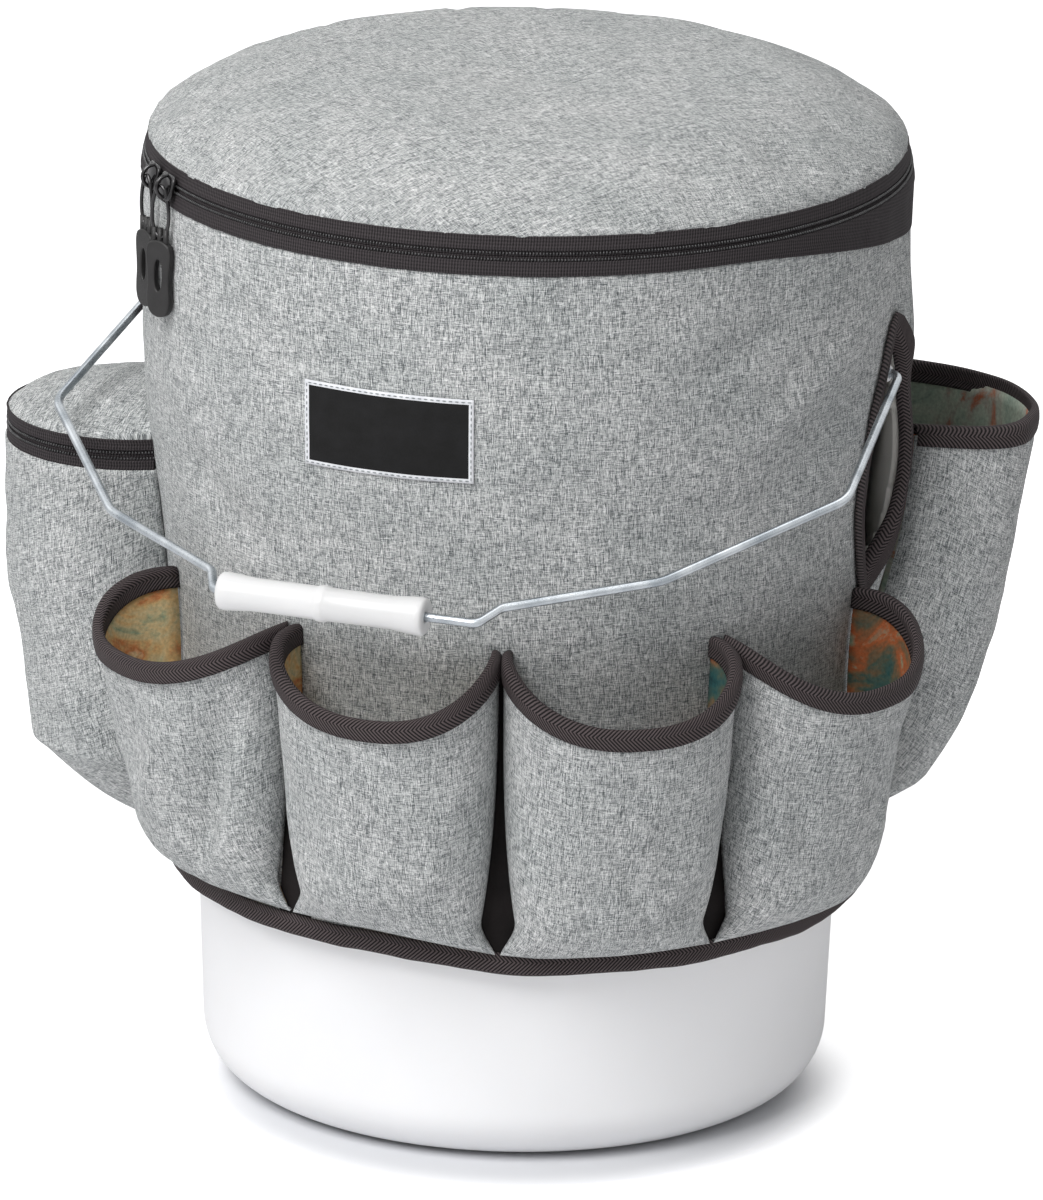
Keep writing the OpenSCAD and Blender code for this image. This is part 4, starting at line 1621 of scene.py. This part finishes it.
    def build(self) -> None:
        """Builds and dresses the pocket."""
        cloth = self.wall(self.name + "_cloth", 0.0, self.cloth_t)
        seat(cloth, CLOTH, Slot.CLOTH, Body.PAIL, [self.nodes[0]])
        lining = self.wall(self.name + "_lining", self.cloth_t + 0.2, self.lining_t)
        seat(lining, self.lining, Slot.PRINT, Body.PAIL, [self.nodes[1]])
        seat(self.tape(), TAPE, Slot.TAPE, Body.PAIL, [self.nodes[2]])


@dataclass
class ZipLine:
    """A round zip: its middle, radius, height and lean, with its two tapes and rows of teeth."""

    name: str
    middle: tuple[float, float]
    radius: float
    coil_z: float
    lean: float
    start: float
    sweep: float
    tape_h: float = 7.5
    pitch: float = 1.35
    tape_t: float = 0.7
    tooth_up: float = 1.25
    tooth: tuple[float, float, float] = (0.7, 0.42, 0.7)

    def point(self, turn: float, h: float, out: float = 0.0) -> Vector:
        """Finds a point on the zip.

        Args:
            turn: Angle from the zip's start, counter-clockwise from above.
            h: Height above the coil.
            out: Distance off the tape's middle.

        Returns:
            The point in millimetres.
        """
        lean = math.radians(self.lean)
        r = self.radius - h * math.tan(lean) + out * math.cos(lean)
        z = self.coil_z + h + out * math.sin(lean)
        return polar(self.middle, self.start + turn, r, z)

    def tape(
        self,
        upper: bool,
        low: Callable[[float], float] | None = None,
        skin: Callable[[float, float], float] | None = None,
    ) -> Thing:
        """Weaves one tape of the zip, set back behind its teeth.

        Args:
            upper: Whether it is the upper one.
            low: Lower edge below the coil at an angle, where it isn't the plain one.
            skin: Radius of the cloth that a long tape lies on, at an angle and a height.

        Returns:
            The tape.
        """
        side = 1.0 if upper else -1.0

        def place(u: float, v: float) -> Vector:
            """Finds a point of the tape.

            Args:
                u: Share along the zip.
                v: Share up.

            Returns:
                The point in millimetres.
            """
            turn = self.sweep * u
            far = -low(turn) if low else self.tape_h + 0.6
            shut = v if upper else 1 - v
            away = 0.1 + (far - 0.1) * shut**1.3
            out = -0.8 + 1.1 * ramp((away - 1.8) / 0.5) + 0.15 * bell((away - 3.0) / 0.8)
            out += 0.25 * bell((away - self.tape_h) / 1.1)
            out += 0.3 * rumple(2.0 if upper else 4.0, turn / 6.0, 1.0) * shut
            made = self.point(turn, side * away, out)
            if skin is None:
                return made
            flat = Vector((made.x, made.y, 0.0))
            lies = ramp((away - 4.0) / 5.0)
            r = flat.length * (1 - lies) + (skin(turn, made.z) + 0.45 + 0.3 * out) * lies
            return flat.normalized() * r + Vector((0.0, 0.0, made.z))

        name = self.name + ("_tape_upper" if upper else "_tape_lower")
        return sheet(name, 260, 28 if low else 20, place, self.tape_t)

    def teeth(self, upper: bool) -> Thing:
        """Winds one row of coil loops along the zip.

        Args:
            upper: Whether it is the upper one.

        Returns:
            The row.
        """
        bm = bmesh.new()
        count = int(math.radians(self.sweep) * self.radius / self.pitch)
        side = 1.0 if upper else -1.0
        shape = Matrix.Diagonal((*self.tooth, 1.0))
        for k in range(count):
            turn = self.sweep * (k + (0.25 if upper else 0.75)) / count
            a = math.radians(self.start + turn)
            centre = self.point(turn, side * self.tooth_up, 0.05)
            frame = Matrix.Translation(centre) @ Matrix.Rotation(a, 4, "Z")
            frame = frame @ Matrix.Rotation(-math.radians(self.lean), 4, "Y")
            bmesh.ops.create_icosphere(bm, subdivisions=1, radius=1.0, matrix=frame @ shape)
        return to_object(bm, self.name + ("_teeth_upper" if upper else "_teeth_lower"))


@dataclass
class ZipPull:
    """A slider on its zip, with its wire link and moulded pull."""

    name: str
    zip: ZipLine
    azimuth: float
    slider_body: Body
    pull_body: Body
    nodes: tuple[str, str, str]
    link_out: float = 5.57
    twist: float = 0.0
    pull_l: float = 55.0
    link_l: float = 22.0
    link_w: float = 3.9
    link_flare: float = 0.9
    link_wire: float = 0.8
    arch_out: float = 2.6
    arch_up: float = 4.75
    arch_wire: float = 0.85
    slot_z: float = -38.0
    slot_l: float = 7.4
    slot_w: float = 2.7
    pin_z: float = -22.6
    pin_r: float = 1.25
    pin_l: float = 9.0

    def on_zip(self) -> Matrix:
        """Finds where the slider sits.

        Returns:
            Its place: x outwards, y along the zip and z across it.
        """
        made = Matrix.Translation((self.zip.middle[0], self.zip.middle[1], self.zip.coil_z))
        made = made @ Matrix.Rotation(math.radians(self.azimuth - 90), 4, "Z")
        made = made @ Matrix.Translation((self.zip.radius, 0, 0))
        return made @ Matrix.Rotation(-math.radians(self.zip.lean), 4, "Y")

    def on_arch(self) -> Matrix:
        """Finds where the pull hangs, plumb below the slider's arch.

        Returns:
            Its place.
        """
        made = self.on_zip() @ Matrix.Translation((self.link_out, 0, 0))
        made = made @ Matrix.Rotation(math.radians(self.zip.lean), 4, "Y")
        return made @ Matrix.Rotation(math.radians(self.twist), 4, "Z")

    def slider(self) -> Thing:
        """Casts the slider: two plates, a web between and an arch.

        Returns:
            The slider.
        """
        bm = bmesh.new()
        # Middle, thickness, length and width of each block
        plates = ((2.65, 1.6, 13.0, 11.0), (-2.55, 1.3, 13.0, 10.6), (0.0, 4.4, 4.0, 0.8))
        for x, thick, length, wide in plates:
            shape = Matrix.Translation((x, 0, 0)) @ Matrix.Diagonal((thick, length, wide, 1))
            bmesh.ops.create_cube(bm, size=1.0, matrix=shape)
        upright = []
        for edge in bm.edges:
            along = edge.verts[0].co - edge.verts[1].co
            if abs(along.normalized().x) > 0.9 and along.length < 2:
                upright.append(edge)
        soft = {"profile": 0.5, "affect": "EDGES", "material": -1}
        bmesh.ops.bevel(bm, geom=upright, offset=3.0, segments=5, **soft)
        rims = [e for e in bm.edges if e.is_manifold and e.calc_face_angle(0) > 1.0]
        bmesh.ops.bevel(bm, geom=rims, offset=0.45, segments=3, **soft)
        spot = Matrix.Translation((self.arch_out, 0, self.arch_up))
        spot = spot @ Matrix.Rotation(math.radians(90), 4, "Y")
        wire = {"radius": self.arch_wire, "segments": 14}
        ring = bmesh.ops.create_circle(bm, cap_ends=True, matrix=spot, **wire)
        parts = set(ring["verts"])
        parts |= {e for v in ring["verts"] for e in v.link_edges}
        parts |= {f for v in ring["verts"] for f in v.link_faces}
        arch = {"cent": (self.arch_out, 0, 0), "axis": (0, 1, 0), "angle": math.pi}
        bmesh.ops.spin(bm, geom=list(parts), steps=14, **arch)
        bmesh.ops.recalc_face_normals(bm, faces=bm.faces)
        bmesh.ops.transform(bm, matrix=self.on_zip(), verts=bm.verts)
        return to_object(bm, self.name + "_slider")

    def link(self) -> Thing:
        """Bends the wire link, wide at its foot.

        Returns:
            The link.
        """
        points = []
        for k in range(40):
            a = math.tau * k / 40
            wide = self.link_w + self.link_flare * ramp((1 - math.cos(a)) / 2)
            drop = self.link_l / 2 * (1 - math.cos(a))
            points.append(Vector((0.0, wide * math.sin(a) * 1.05, -drop)))
        place = self.on_arch()
        route = [place @ p for p in points]
        return tube(self.name + "_link", route, self.link_wire, closed=True, sides=3)

    def pull(self) -> Thing:
        """Moulds the pull: a waisted tab with a finger slot, held by the link's foot.

        Returns:
            The pull.
        """
        low = -self.pull_l
        # Half width and height of the outline's corners
        side = [
            (4.6, -25.2),
            (5.8, -27.5),
            (5.9, -31.0),
            (5.3, -37.0),
            (5.1, -42.0),
            (5.5, -47.0),
            (5.3, low + 4.2),
            (3.9, low + 1.2),
            (1.5, low),
        ]
        outline = side + [(-y, z) for y, z in reversed(side)]
        slot = []
        for k in range(20):
            a = math.tau * k / 20
            tall = self.slot_l * math.copysign(abs(math.sin(a)) ** 0.7, math.sin(a))
            slot.append((self.slot_w * math.cos(a), self.slot_z + tall))
        curve = bpy.data.curves.new(self.name + "_pull", "CURVE")
        curve.dimensions = "2D"
        curve.fill_mode = "BOTH"
        curve.extrude = 1.0 * MM
        curve.bevel_depth = 0.7 * MM
        curve.bevel_resolution = 2
        for loop in (outline, slot):
            spline = curve.splines.new("BEZIER")
            spline.bezier_points.add(len(loop) - 1)
            for point, (y, z) in zip(spline.bezier_points, loop):
                point.co = (y * MM, z * MM, 0)
                point.handle_left_type = point.handle_right_type = "AUTO"
            spline.use_cyclic_u = True
        mesh = curve_mesh(curve)
        bm = bmesh.new()
        bm.from_mesh(mesh)
        bpy.data.meshes.remove(mesh)
        bmesh.ops.scale(bm, vec=(1 / MM, 1 / MM, 1 / MM), verts=bm.verts)
        for y in (-3.2, 0.0, 3.2):
            lie = Matrix.Translation((y, self.pin_z, 0.0)) @ Matrix.Rotation(math.radians(90), 4, "X")
            pin = {"radius1": self.pin_r, "radius2": self.pin_r, "depth": self.pin_l}
            bmesh.ops.create_cone(bm, cap_ends=True, segments=12, matrix=lie, **pin)
        upright = Matrix(((0, 0, 1, 0), (1, 0, 0, 0), (0, 1, 0, 0), (0, 0, 0, 1)))
        bmesh.ops.transform(bm, matrix=self.on_arch() @ upright, verts=bm.verts)
        return to_object(bm, self.name + "_pull")

    def build(self) -> None:
        """Builds and dresses the slider and its pull."""
        seat(self.slider(), BLACK_NICKEL, Slot.METAL, self.slider_body, [self.nodes[0]])
        seat(self.link(), BLACK_NICKEL, Slot.METAL, self.pull_body, [self.nodes[1]])
        seat(self.pull(), PULL_RUBBER, Slot.RUBBER, self.pull_body, [self.nodes[2]])


@dataclass
class Lid:
    """Padded lid with its zip and cloth hinge."""

    form: CoverForm
    zip_half: float = 151.0
    crown_h: float = 25.0
    power: float = 4.0
    pad_r: float = 151.0
    floor_z: float = 403.0
    puff_mm: float = 3.0
    puff_frames: int = 20
    pressure: float = 4.0
    droop_w: float = 17.0
    hinge_t: float = 0.9
    lining_r: float = 149.5
    lining_z: float = 401.8
    lining_t: float = 1.0
    weave_turn: float = 38.0
    rings: int = 30
    zip: ZipLine = field(init=False)

    def __post_init__(self) -> None:
        """Lays out the lid's zip."""
        f = self.form
        start, sweep = -self.zip_half - 90.0, 2 * self.zip_half
        self.zip = ZipLine("lid_zip", (0.0, 0.0), f.coil_r, f.coil_z, f.lean, start, sweep)

    def seam(self) -> tuple[float, float]:
        """Returns the radius and height of the lid's seam."""
        h = self.form.tape_h + 0.2
        return self.form.zip_radius(h) + 0.5, self.form.coil_z + h

    def profile(self) -> list[tuple[float, float]]:
        """Draws the padded lid's half section.

        Returns:
            Corners from the underside's middle, round the seam and over the crown.
        """
        seam_r, seam_z = self.seam()
        under = [(self.pad_r * k / 12, self.floor_z) for k in range(13)]
        turn = [(self.pad_r + 4.0, self.floor_z + 2.0), (seam_r - 1.0, seam_z - 1.2)]
        crown = []
        for k in range(self.rings, -1, -1):
            r = seam_r * math.sin(math.pi / 2 * k / self.rings)
            high = self.crown_h * math.sqrt(max(0.0, 1 - (r / seam_r) ** self.power))
            crown.append((r, seam_z + high))
        return under + turn + crown

    def puff(self, obj: Thing) -> None:
        """Swells the padding with a short cloth simulation and keeps the result.

        Args:
            obj: The lid's closed cover, in metres.
        """
        rest = [v.co.copy() for v in obj.data.vertices]
        seam_z = self.seam()[1] * MM
        group = obj.vertex_groups.new(name="sewn")
        group.add([i for i, p in enumerate(rest) if p.z < seam_z + 0.5 * MM], 1.0, "REPLACE")
        cloth = obj.modifiers.new("Padding", "CLOTH")
        cloth.settings.use_pressure = True
        cloth.settings.uniform_pressure_force = self.pressure
        cloth.settings.vertex_group_mass = "sewn"
        cloth.settings.effector_weights.gravity = 0.0
        scene = bpy.context.scene
        for frame in range(1, self.puff_frames + 1):
            scene.frame_set(frame)
        graph = bpy.context.evaluated_depsgraph_get()
        moved = [v.co.copy() for v in obj.evaluated_get(graph).data.vertices]
        obj.modifiers.remove(cloth)
        for vert, before, after in zip(obj.data.vertices, rest, moved):
            step = after - before
            if step.length > self.puff_mm * MM:
                step = step.normalized() * self.puff_mm * MM
            vert.co = before + step
        scene.frame_set(1)

    def pad(self) -> None:
        """Builds the padded cover of the lid."""
        made = spun("lid_pad", self.profile(), 128)
        self.puff(made)
        seam_r, seam_z = self.seam()
        for vert in made.data.vertices:
            p = vert.co / MM
            r = math.hypot(p.x, p.y)
            az = azimuth_of(p)
            if p.z > seam_z + 0.2:
                near = bell((seam_r - r) / 14.0)
                pucker = 0.55 * near * rumple(9.0, az / 4.0, 0.3)
                soft = 1.0 * rumple(12.0, p.x / 62.0, p.y / 62.0) * ramp((seam_r - r) / 30.0)
                vert.co.z += (pucker + soft) * MM
        made.data.update()
        layer = made.data.uv_layers.new(name="cloth")
        turn = Matrix.Rotation(math.radians(self.weave_turn), 2)
        for loop in made.data.loops:
            p = made.data.vertices[loop.vertex_index].co
            r = math.hypot(p.x, p.y)
            run = 1 + max(0.0, (seam_z + self.crown_h) * MM - p.z) / max(r, 1 * MM)
            layer.data[loop.index].uv = turn @ Vector((p.x, p.y)) * run
        seat(made, CLOTH, Slot.CLOTH, Body.LID, ["lid_cover", "lid_foam"])
        r, low, high = self.lining_r, self.lining_z, self.lining_z + self.lining_t
        under = [(0.0, low), (r, low), (r + 0.8, low + 0.4), (r + 0.3, high), (0.0, high)]
        seat(spun("lid_inner_cloth", under, 128), INNER_CLOTH, Slot.INNER, Body.LID, ["lid_lining"])

    def droop(self, turn: float) -> float:
        """Finds the lower tape's edge; the band widens on the right.

        Args:
            turn: Angle from the zip's start.

        Returns:
            Its height from the coil, below 0.
        """
        az = turn - self.zip_half
        wide = ramp((az - 50.0) / 60.0) * (1 - ramp((az - 112.0) / 38.0))
        return -self.form.tape_h - 0.6 - self.droop_w * wide

    def under(self, turn: float, z: float) -> float:
        """Returns the radius of the sleeve under the lower tape, at an angle along the zip."""
        return self.form.radius(z) + self.form.lift(turn - self.zip_half, min(z, self.form.top_z))

    def hinge(self) -> None:
        """Carries the tape on round the back as the lid's hinge."""
        f = self.form
        start, sweep = self.zip_half - 90.0 + 0.4, 360.0 - 2 * self.zip_half - 0.8
        band = ZipLine("hinge", (0.0, 0.0), f.coil_r, f.coil_z, f.lean, start, sweep)

        def place(u: float, v: float) -> Vector:
            """Returns the hinge's point at shares along and up."""
            h = -f.tape_h - 0.6 + (2 * f.tape_h + 1.2) * v
            return band.point(sweep * u, h, 0.6 + 0.3 * bell((v - 0.5) / 0.2))

        made = sheet("hinge_cloth", 60, 24, place, self.hinge_t)
        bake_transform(made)
        seat(made, TAPE, Slot.TAPE, None, ["hinge_strip_lower", "hinge_strip_upper"])

    def build(self) -> None:
        """Builds and dresses the lid, its zip and its hinge."""
        self.pad()
        upper = self.zip.tape(True)
        seat(upper, ZIP_TAPE, Slot.TAPE, Body.LID, ["zip_tape_upper"])
        lower = self.zip.tape(False, self.droop, self.under)
        seat(lower, ZIP_TAPE, Slot.TAPE, Body.PAIL, ["zip_tape_lower"])
        seat(self.zip.teeth(True), NYLON, Slot.COIL, Body.LID, ["zip_coil_upper"])
        seat(self.zip.teeth(False), NYLON, Slot.COIL, Body.PAIL, ["zip_coil_lower"])
        self.hinge()


@dataclass
class ZippedPocket:
    """Round side pocket that a zip closes, with a top that folds up."""

    form: CoverForm
    middle: tuple[float, float] = (-164.0, -33.0)
    top_r: float = 52.0
    foot_r: float = 38.0
    base_z: float = 117.0
    coil_z: float = 273.5
    foot_round: float = 14.0
    inward: float = 11.4
    rim_z: float = 135.0
    tail_z: float = 100.0
    under_share: float = 0.24
    under_sag: float = 6.5
    slack: float = 2.2
    cloth_t: float = 1.6
    seam_off: float = 3.5
    stitch: float = 2.8
    thread_r: float = 0.3
    band: float = 6.4
    belly: float = 2.6
    fold_x: float = -179.0
    rise: float = 8.0
    top_t: float = 3.0
    zip: ZipLine = field(init=False)

    def __post_init__(self) -> None:
        """Lays out the pocket's zip between its two ends at the sleeve."""
        first, last = self.ends(self.top_r, self.coil_z)
        self.zip = ZipLine(
            "pocket_zip", self.middle, self.top_r - 0.5, self.coil_z, 0.0, first, last - first, self.band
        )

    def ends(self, r: float, z: float) -> tuple[float, float]:
        """Finds where a ring of the pocket meets the sleeve.

        Args:
            r: The ring's radius.
            z: Its height.

        Returns:
            Angles of the back end and the front end, counter-clockwise from the right.
        """
        limit = self.form.radius(z) + 0.4
        found = []
        for low in (self.inward, 360.0 + self.inward):
            high = 180.0 + self.inward
            for _ in range(40):
                here = (low + high) / 2
                a = math.radians(here)
                reach = math.hypot(self.middle[0] + r * math.cos(a), self.middle[1] + r * math.sin(a))
                if reach < limit:
                    low = here
                else:
                    high = here
            found.append((low + high) / 2)
        return found[0], found[1]

    def ring(self, u: float, r: float, z: float) -> Vector:
        """Returns a point on a ring, from its back end to its front end."""
        first, last = self.ends(r, z)
        return polar(self.middle, first + (last - first) * u, r, z)

    def on_sleeve(self, u: float, r: float, z: float) -> Vector:
        """Finds a point on the sleeve between a ring's two ends.

        Args:
            u: Share from its back end.
            r: The ring's radius.
            z: Its height.

        Returns:
            The point in millimetres.
        """
        back, front = self.ring(0.0, r, z), self.ring(1.0, r, z)
        from_az = azimuth_of(back) % 360.0
        to_az = azimuth_of(front) % 360.0
        return about(from_az + (to_az - from_az) * u, self.form.radius(z) + 0.4, z)

    def side_r(self, z: float) -> float:
        """Works out how wide the pocket is.

        Args:
            z: Height.

        Returns:
            Its radius there.
        """
        low, high = self.base_z + self.foot_round, self.coil_z - 7.7
        share = max(0.0, (z - low) / (high - low))
        return self.foot_r + (self.top_r - self.foot_r) * share

    def cup(self) -> None:
        """Builds the pocket's wall and floor."""
        top = self.coil_z - self.band + 0.1

        def place(u: float, v: float) -> Vector:
            """Finds a point of the underside or the wall.

            Args:
                u: Share round.
                v: Share up.

            Returns:
                The point in millimetres.
            """
            if v < self.under_share:
                share = v / self.under_share
                rim = self.ring(u, self.side_r(self.rim_z) + 0.6, self.rim_z)
                made = self.tail(u).lerp(rim, share)
                made.z -= self.under_sag * math.sin(math.pi * share)
                return made
            up = (v - self.under_share) / (1 - self.under_share)
            z = self.rim_z + (top - self.rim_z) * up**1.1
            made = self.ring(u, self.side_r(z), z)
            inside = math.sin(math.pi * u) ** 0.5 if 0 < u < 1 else 0.0
            slack = self.slack * inside * ramp((top - z) / 40.0) * ramp((z - self.base_z) / 30.0 + 0.2)
            fold = 1 - 2.2 * abs(rumple(26.0, u * 3.2 + z / 90.0, z / 60.0))
            push = slack * (rumple(21.0, u * 4.5, z / 48.0) + 0.4 * fold)
            push += inside * (0.6 + self.belly * math.sin(math.pi * (z - self.rim_z) / (top - self.rim_z)))
            return made + flat_out(made, self.middle) * push

        made = sheet("zipped_cup", 110, 70, place, self.cloth_t)
        seat(made, CLOTH, Slot.CLOTH, Body.PAIL, ["zipped_pocket"])
        seam = top - self.seam_off
        line = [self.ring(k / 240, self.side_r(seam) + 0.25, seam) for k in range(241)]
        row = stitches("zipped_cup_stitching", line, self.middle, self.stitch, self.thread_r)
        seat(row, THREAD_GREY, Slot.CLOTH, Body.PAIL)

    def tail(self, u: float) -> Vector:
        """Finds where the pocket's slanted underside meets the sleeve.

        Args:
            u: Share round.

        Returns:
            The point in millimetres.
        """
        rim = self.on_sleeve(u, self.side_r(self.rim_z) - 1.2, self.rim_z)
        az = azimuth_of(rim) % 360.0
        middle = 270.0 + self.inward
        return about(middle + (az - middle) * 0.5, self.form.radius(self.tail_z) + 0.4, self.tail_z)

    def top(self) -> None:
        """Builds the puffed top as one cloth."""
        low = self.coil_z + self.band - 0.1

        def place(u: float, v: float) -> Vector:
            """Finds a point of the top.

            Args:
                u: Share round.
                v: Share from the zip to the sleeve.

            Returns:
                The point in millimetres.
            """
            rim = self.ring(u, self.top_r - 0.2, low)
            foot = self.on_sleeve(u, self.top_r, low)
            made = rim.lerp(foot, v)
            q = math.hypot(made.x - self.middle[0], made.y - self.middle[1])
            lift = self.rise * (1 - (q / self.top_r) ** 2)
            lift += self.top_t * ramp(v / 0.12) + 3.0 * ramp(v) ** 2
            pucker = 0.6 * bell(v / 0.2) * rumple(31.0, u * 16.0, 0.0)
            wrinkle = 1.6 * rumple(33.0, u * 3.0, v * 2.0) * math.sin(math.pi * v)
            made.z += lift + (pucker + wrinkle) * ramp(v / 0.06)
            return made

        made = sheet("zipped_top", 90, 36, place, self.cloth_t)
        layer = made.data.uv_layers["cloth"]
        for loop in made.data.loops:
            layer.data[loop.index].uv = made.data.vertices[loop.vertex_index].co.xy
        self.fold(made)
        seat(made, CLOTH, Slot.CLOTH, None, ["zipped_yoke", "zipped_flap"])

    def fold(self, obj: Thing) -> None:
        """Bakes a piece's placement into its mesh.

        Args:
            obj: The piece.
        """
        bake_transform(obj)

    def build(self) -> None:
        """Builds and dresses the pocket."""
        self.cup()
        self.top()
        lower = self.zip.tape(False)
        seat(lower, ZIP_TAPE, Slot.TAPE, Body.PAIL, ["zipped_tape_lower"])
        seat(self.zip.teeth(False), NYLON, Slot.COIL, Body.PAIL, ["zipped_coil_lower"])
        upper = self.zip.tape(True)
        self.fold(upper)
        seat(upper, ZIP_TAPE, Slot.TAPE, None, ["zipped_tape_upper"])
        teeth = self.zip.teeth(True)
        self.fold(teeth)
        seat(teeth, NYLON, Slot.COIL, None, ["zipped_coil_upper"])


# Creases of the four can pockets: from across and up, to across and up, how far out and how soft
CREASES = (
    (
        (0.92, 1.0, 0.64, 0.06, -12.0, 7.5),
        (0.66, 0.95, 0.42, 0.2, 3.6, 7.0),
        (0.2, 0.22, 0.6, 0.02, -2.6, 5.0),
        (0.3, 0.6, 0.12, 0.2, -3.0, 6.0),
    ),
    ((0.12, 0.7, 0.3, 0.1, -2.8, 6.0), (0.95, 0.8, 0.7, 0.2, 1.8, 8.0), (0.3, 0.04, 0.7, 0.2, -1.8, 6.0)),
    ((0.2, 0.95, 0.1, 0.3, -2.6, 6.0), (0.6, 0.12, 0.95, 0.35, -2.4, 6.0), (0.9, 0.9, 0.8, 0.3, 1.8, 7.0)),
    ((0.16, 0.85, 0.26, 0.3, -3.6, 6.0), (0.75, 0.9, 0.9, 0.2, -2.4, 7.0), (0.1, 0.1, 0.5, 0.3, 1.8, 6.0)),
)


@dataclass
class PocketRow:
    """The can pockets round the front, the near-black sheets of painted shade in their gaps, and the open
    side pocket.
    """

    form: CoverForm
    first_az: float = -53.25
    pitch: float = 35.5
    mouth_z: float = 213.0
    skews: tuple[float, ...] = (0.85, 1.2, 1.0, 1.0)
    gap_low: float = 97.0
    gap_high: float = 226.0
    gap_half: float = 0.4
    gap_flare: float = 3.1
    gap_off: float = 0.25

    def cans(self) -> list[OpenPocket]:
        """Lays out the can pockets.

        Returns:
            The pockets from left to right.
        """
        linings = (WARM_PRINT, WARM_PRINT, DEEP_PRINT, DEEP_PRINT)
        return [
            OpenPocket(
                self.form,
                f"can_{i + 1}",
                (f"can_pocket_{i + 1}", f"can_lining_{i + 1}", f"can_binding_{i + 1}"),
                linings[i],
                self.first_az + self.pitch * i,
                self.pitch,
                mouth_z=self.mouth_z - i,
                skew=self.skews[i],
                seed=2.0 + 3.7 * i,
                creases=creases,
            )
            for i, creases in enumerate(CREASES)
        ]

    def side(self) -> OpenPocket:
        """Lays out the open side pocket.

        Returns:
            The pocket on the right.
        """
        return OpenPocket(
            self.form,
            "side",
            ("side_pocket", "side_lining", "side_binding"),
            PALE_PRINT,
            start=102.0,
            sweep=45.0,
            depth=57.5,
            foot_depth=19.0,
            foot_z=124.0,
            seam_z=287.0,
            mouth_z=287.0,
            square=1.75,
            skew=0.49,
            toe=1.0,
            sharp=3.3,
            tilt=5.0,
            pinch=0.0,
            dent=2.2,
            seed=19.0,
        )

    def gap_shade_sheet(self, number: int) -> None:
        """Lays a near-black sheet in one of the gaps between the can pockets, as painted shade.

        Args:
            number: The gap's number from the left, from 1.
        """
        az = self.first_az + self.pitch * number

        def place(u: float, v: float) -> Vector:
            """Finds a point of the sheet.

            Args:
                u: Share across.
                v: Share up.

            Returns:
                The point in millimetres.
            """
            z = self.gap_low + (self.gap_high - self.gap_low) * v
            spread = (2 * u - 1) * (self.gap_half + self.gap_flare * (1 - v))
            return about(az + spread, self.form.radius(z) + self.gap_off, z)

        # Near-black sheet painted as shade in the gap
        made = sheet(f"pocket_gusset_{number}", 6, 30, place)
        seat(made, GAP_SHADE, Slot.TAPE, Body.PAIL)

    def build(self) -> None:
        """Builds the pockets and the sheets of painted shade in their gaps."""
        for pocket in [*self.cans(), self.side()]:
            pocket.build()
        for number in range(1, len(CREASES)):
            self.gap_shade_sheet(number)


def corners() -> list[list[float]]:
    """Returns the shown object's lowest and highest corners as plain numbers."""
    return [[float(x) for x in corner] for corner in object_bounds()]


def main() -> None:
    """Loads the frame and builds every piece over it."""
    logging.basicConfig(level=logging.INFO, format="%(name)s: %(message)s")
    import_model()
    Studio().build()
    form = CoverForm()
    Pail(form).build()
    Handle(form).build()
    Sleeve(form).build()
    PocketRow(form).build()
    lid = Lid(form)
    lid.build()
    cup = ZippedPocket(form)
    cup.build()
    front = ("slider_a", "link_a", "tab_a")
    rear = ("slider_b", "link_b", "tab_b")
    side = ("zipped_slider", "zipped_link", "zipped_tab")
    pulls = (
        ZipPull("front", lid.zip, -45.5, Body.SLIDER_A, Body.PULL_A, front, twist=25.0),
        ZipPull("rear", lid.zip, -51.5, Body.SLIDER_B, Body.PULL_B, rear, twist=12.0),
        ZipPull("pocket", cup.zip, 189.0, Body.POCKET_SLIDER, Body.POCKET_PULL, side),
    )
    for pull in pulls:
        pull.build()
    LOG.info("sizes noted")


if __name__ == "__main__":
    main()
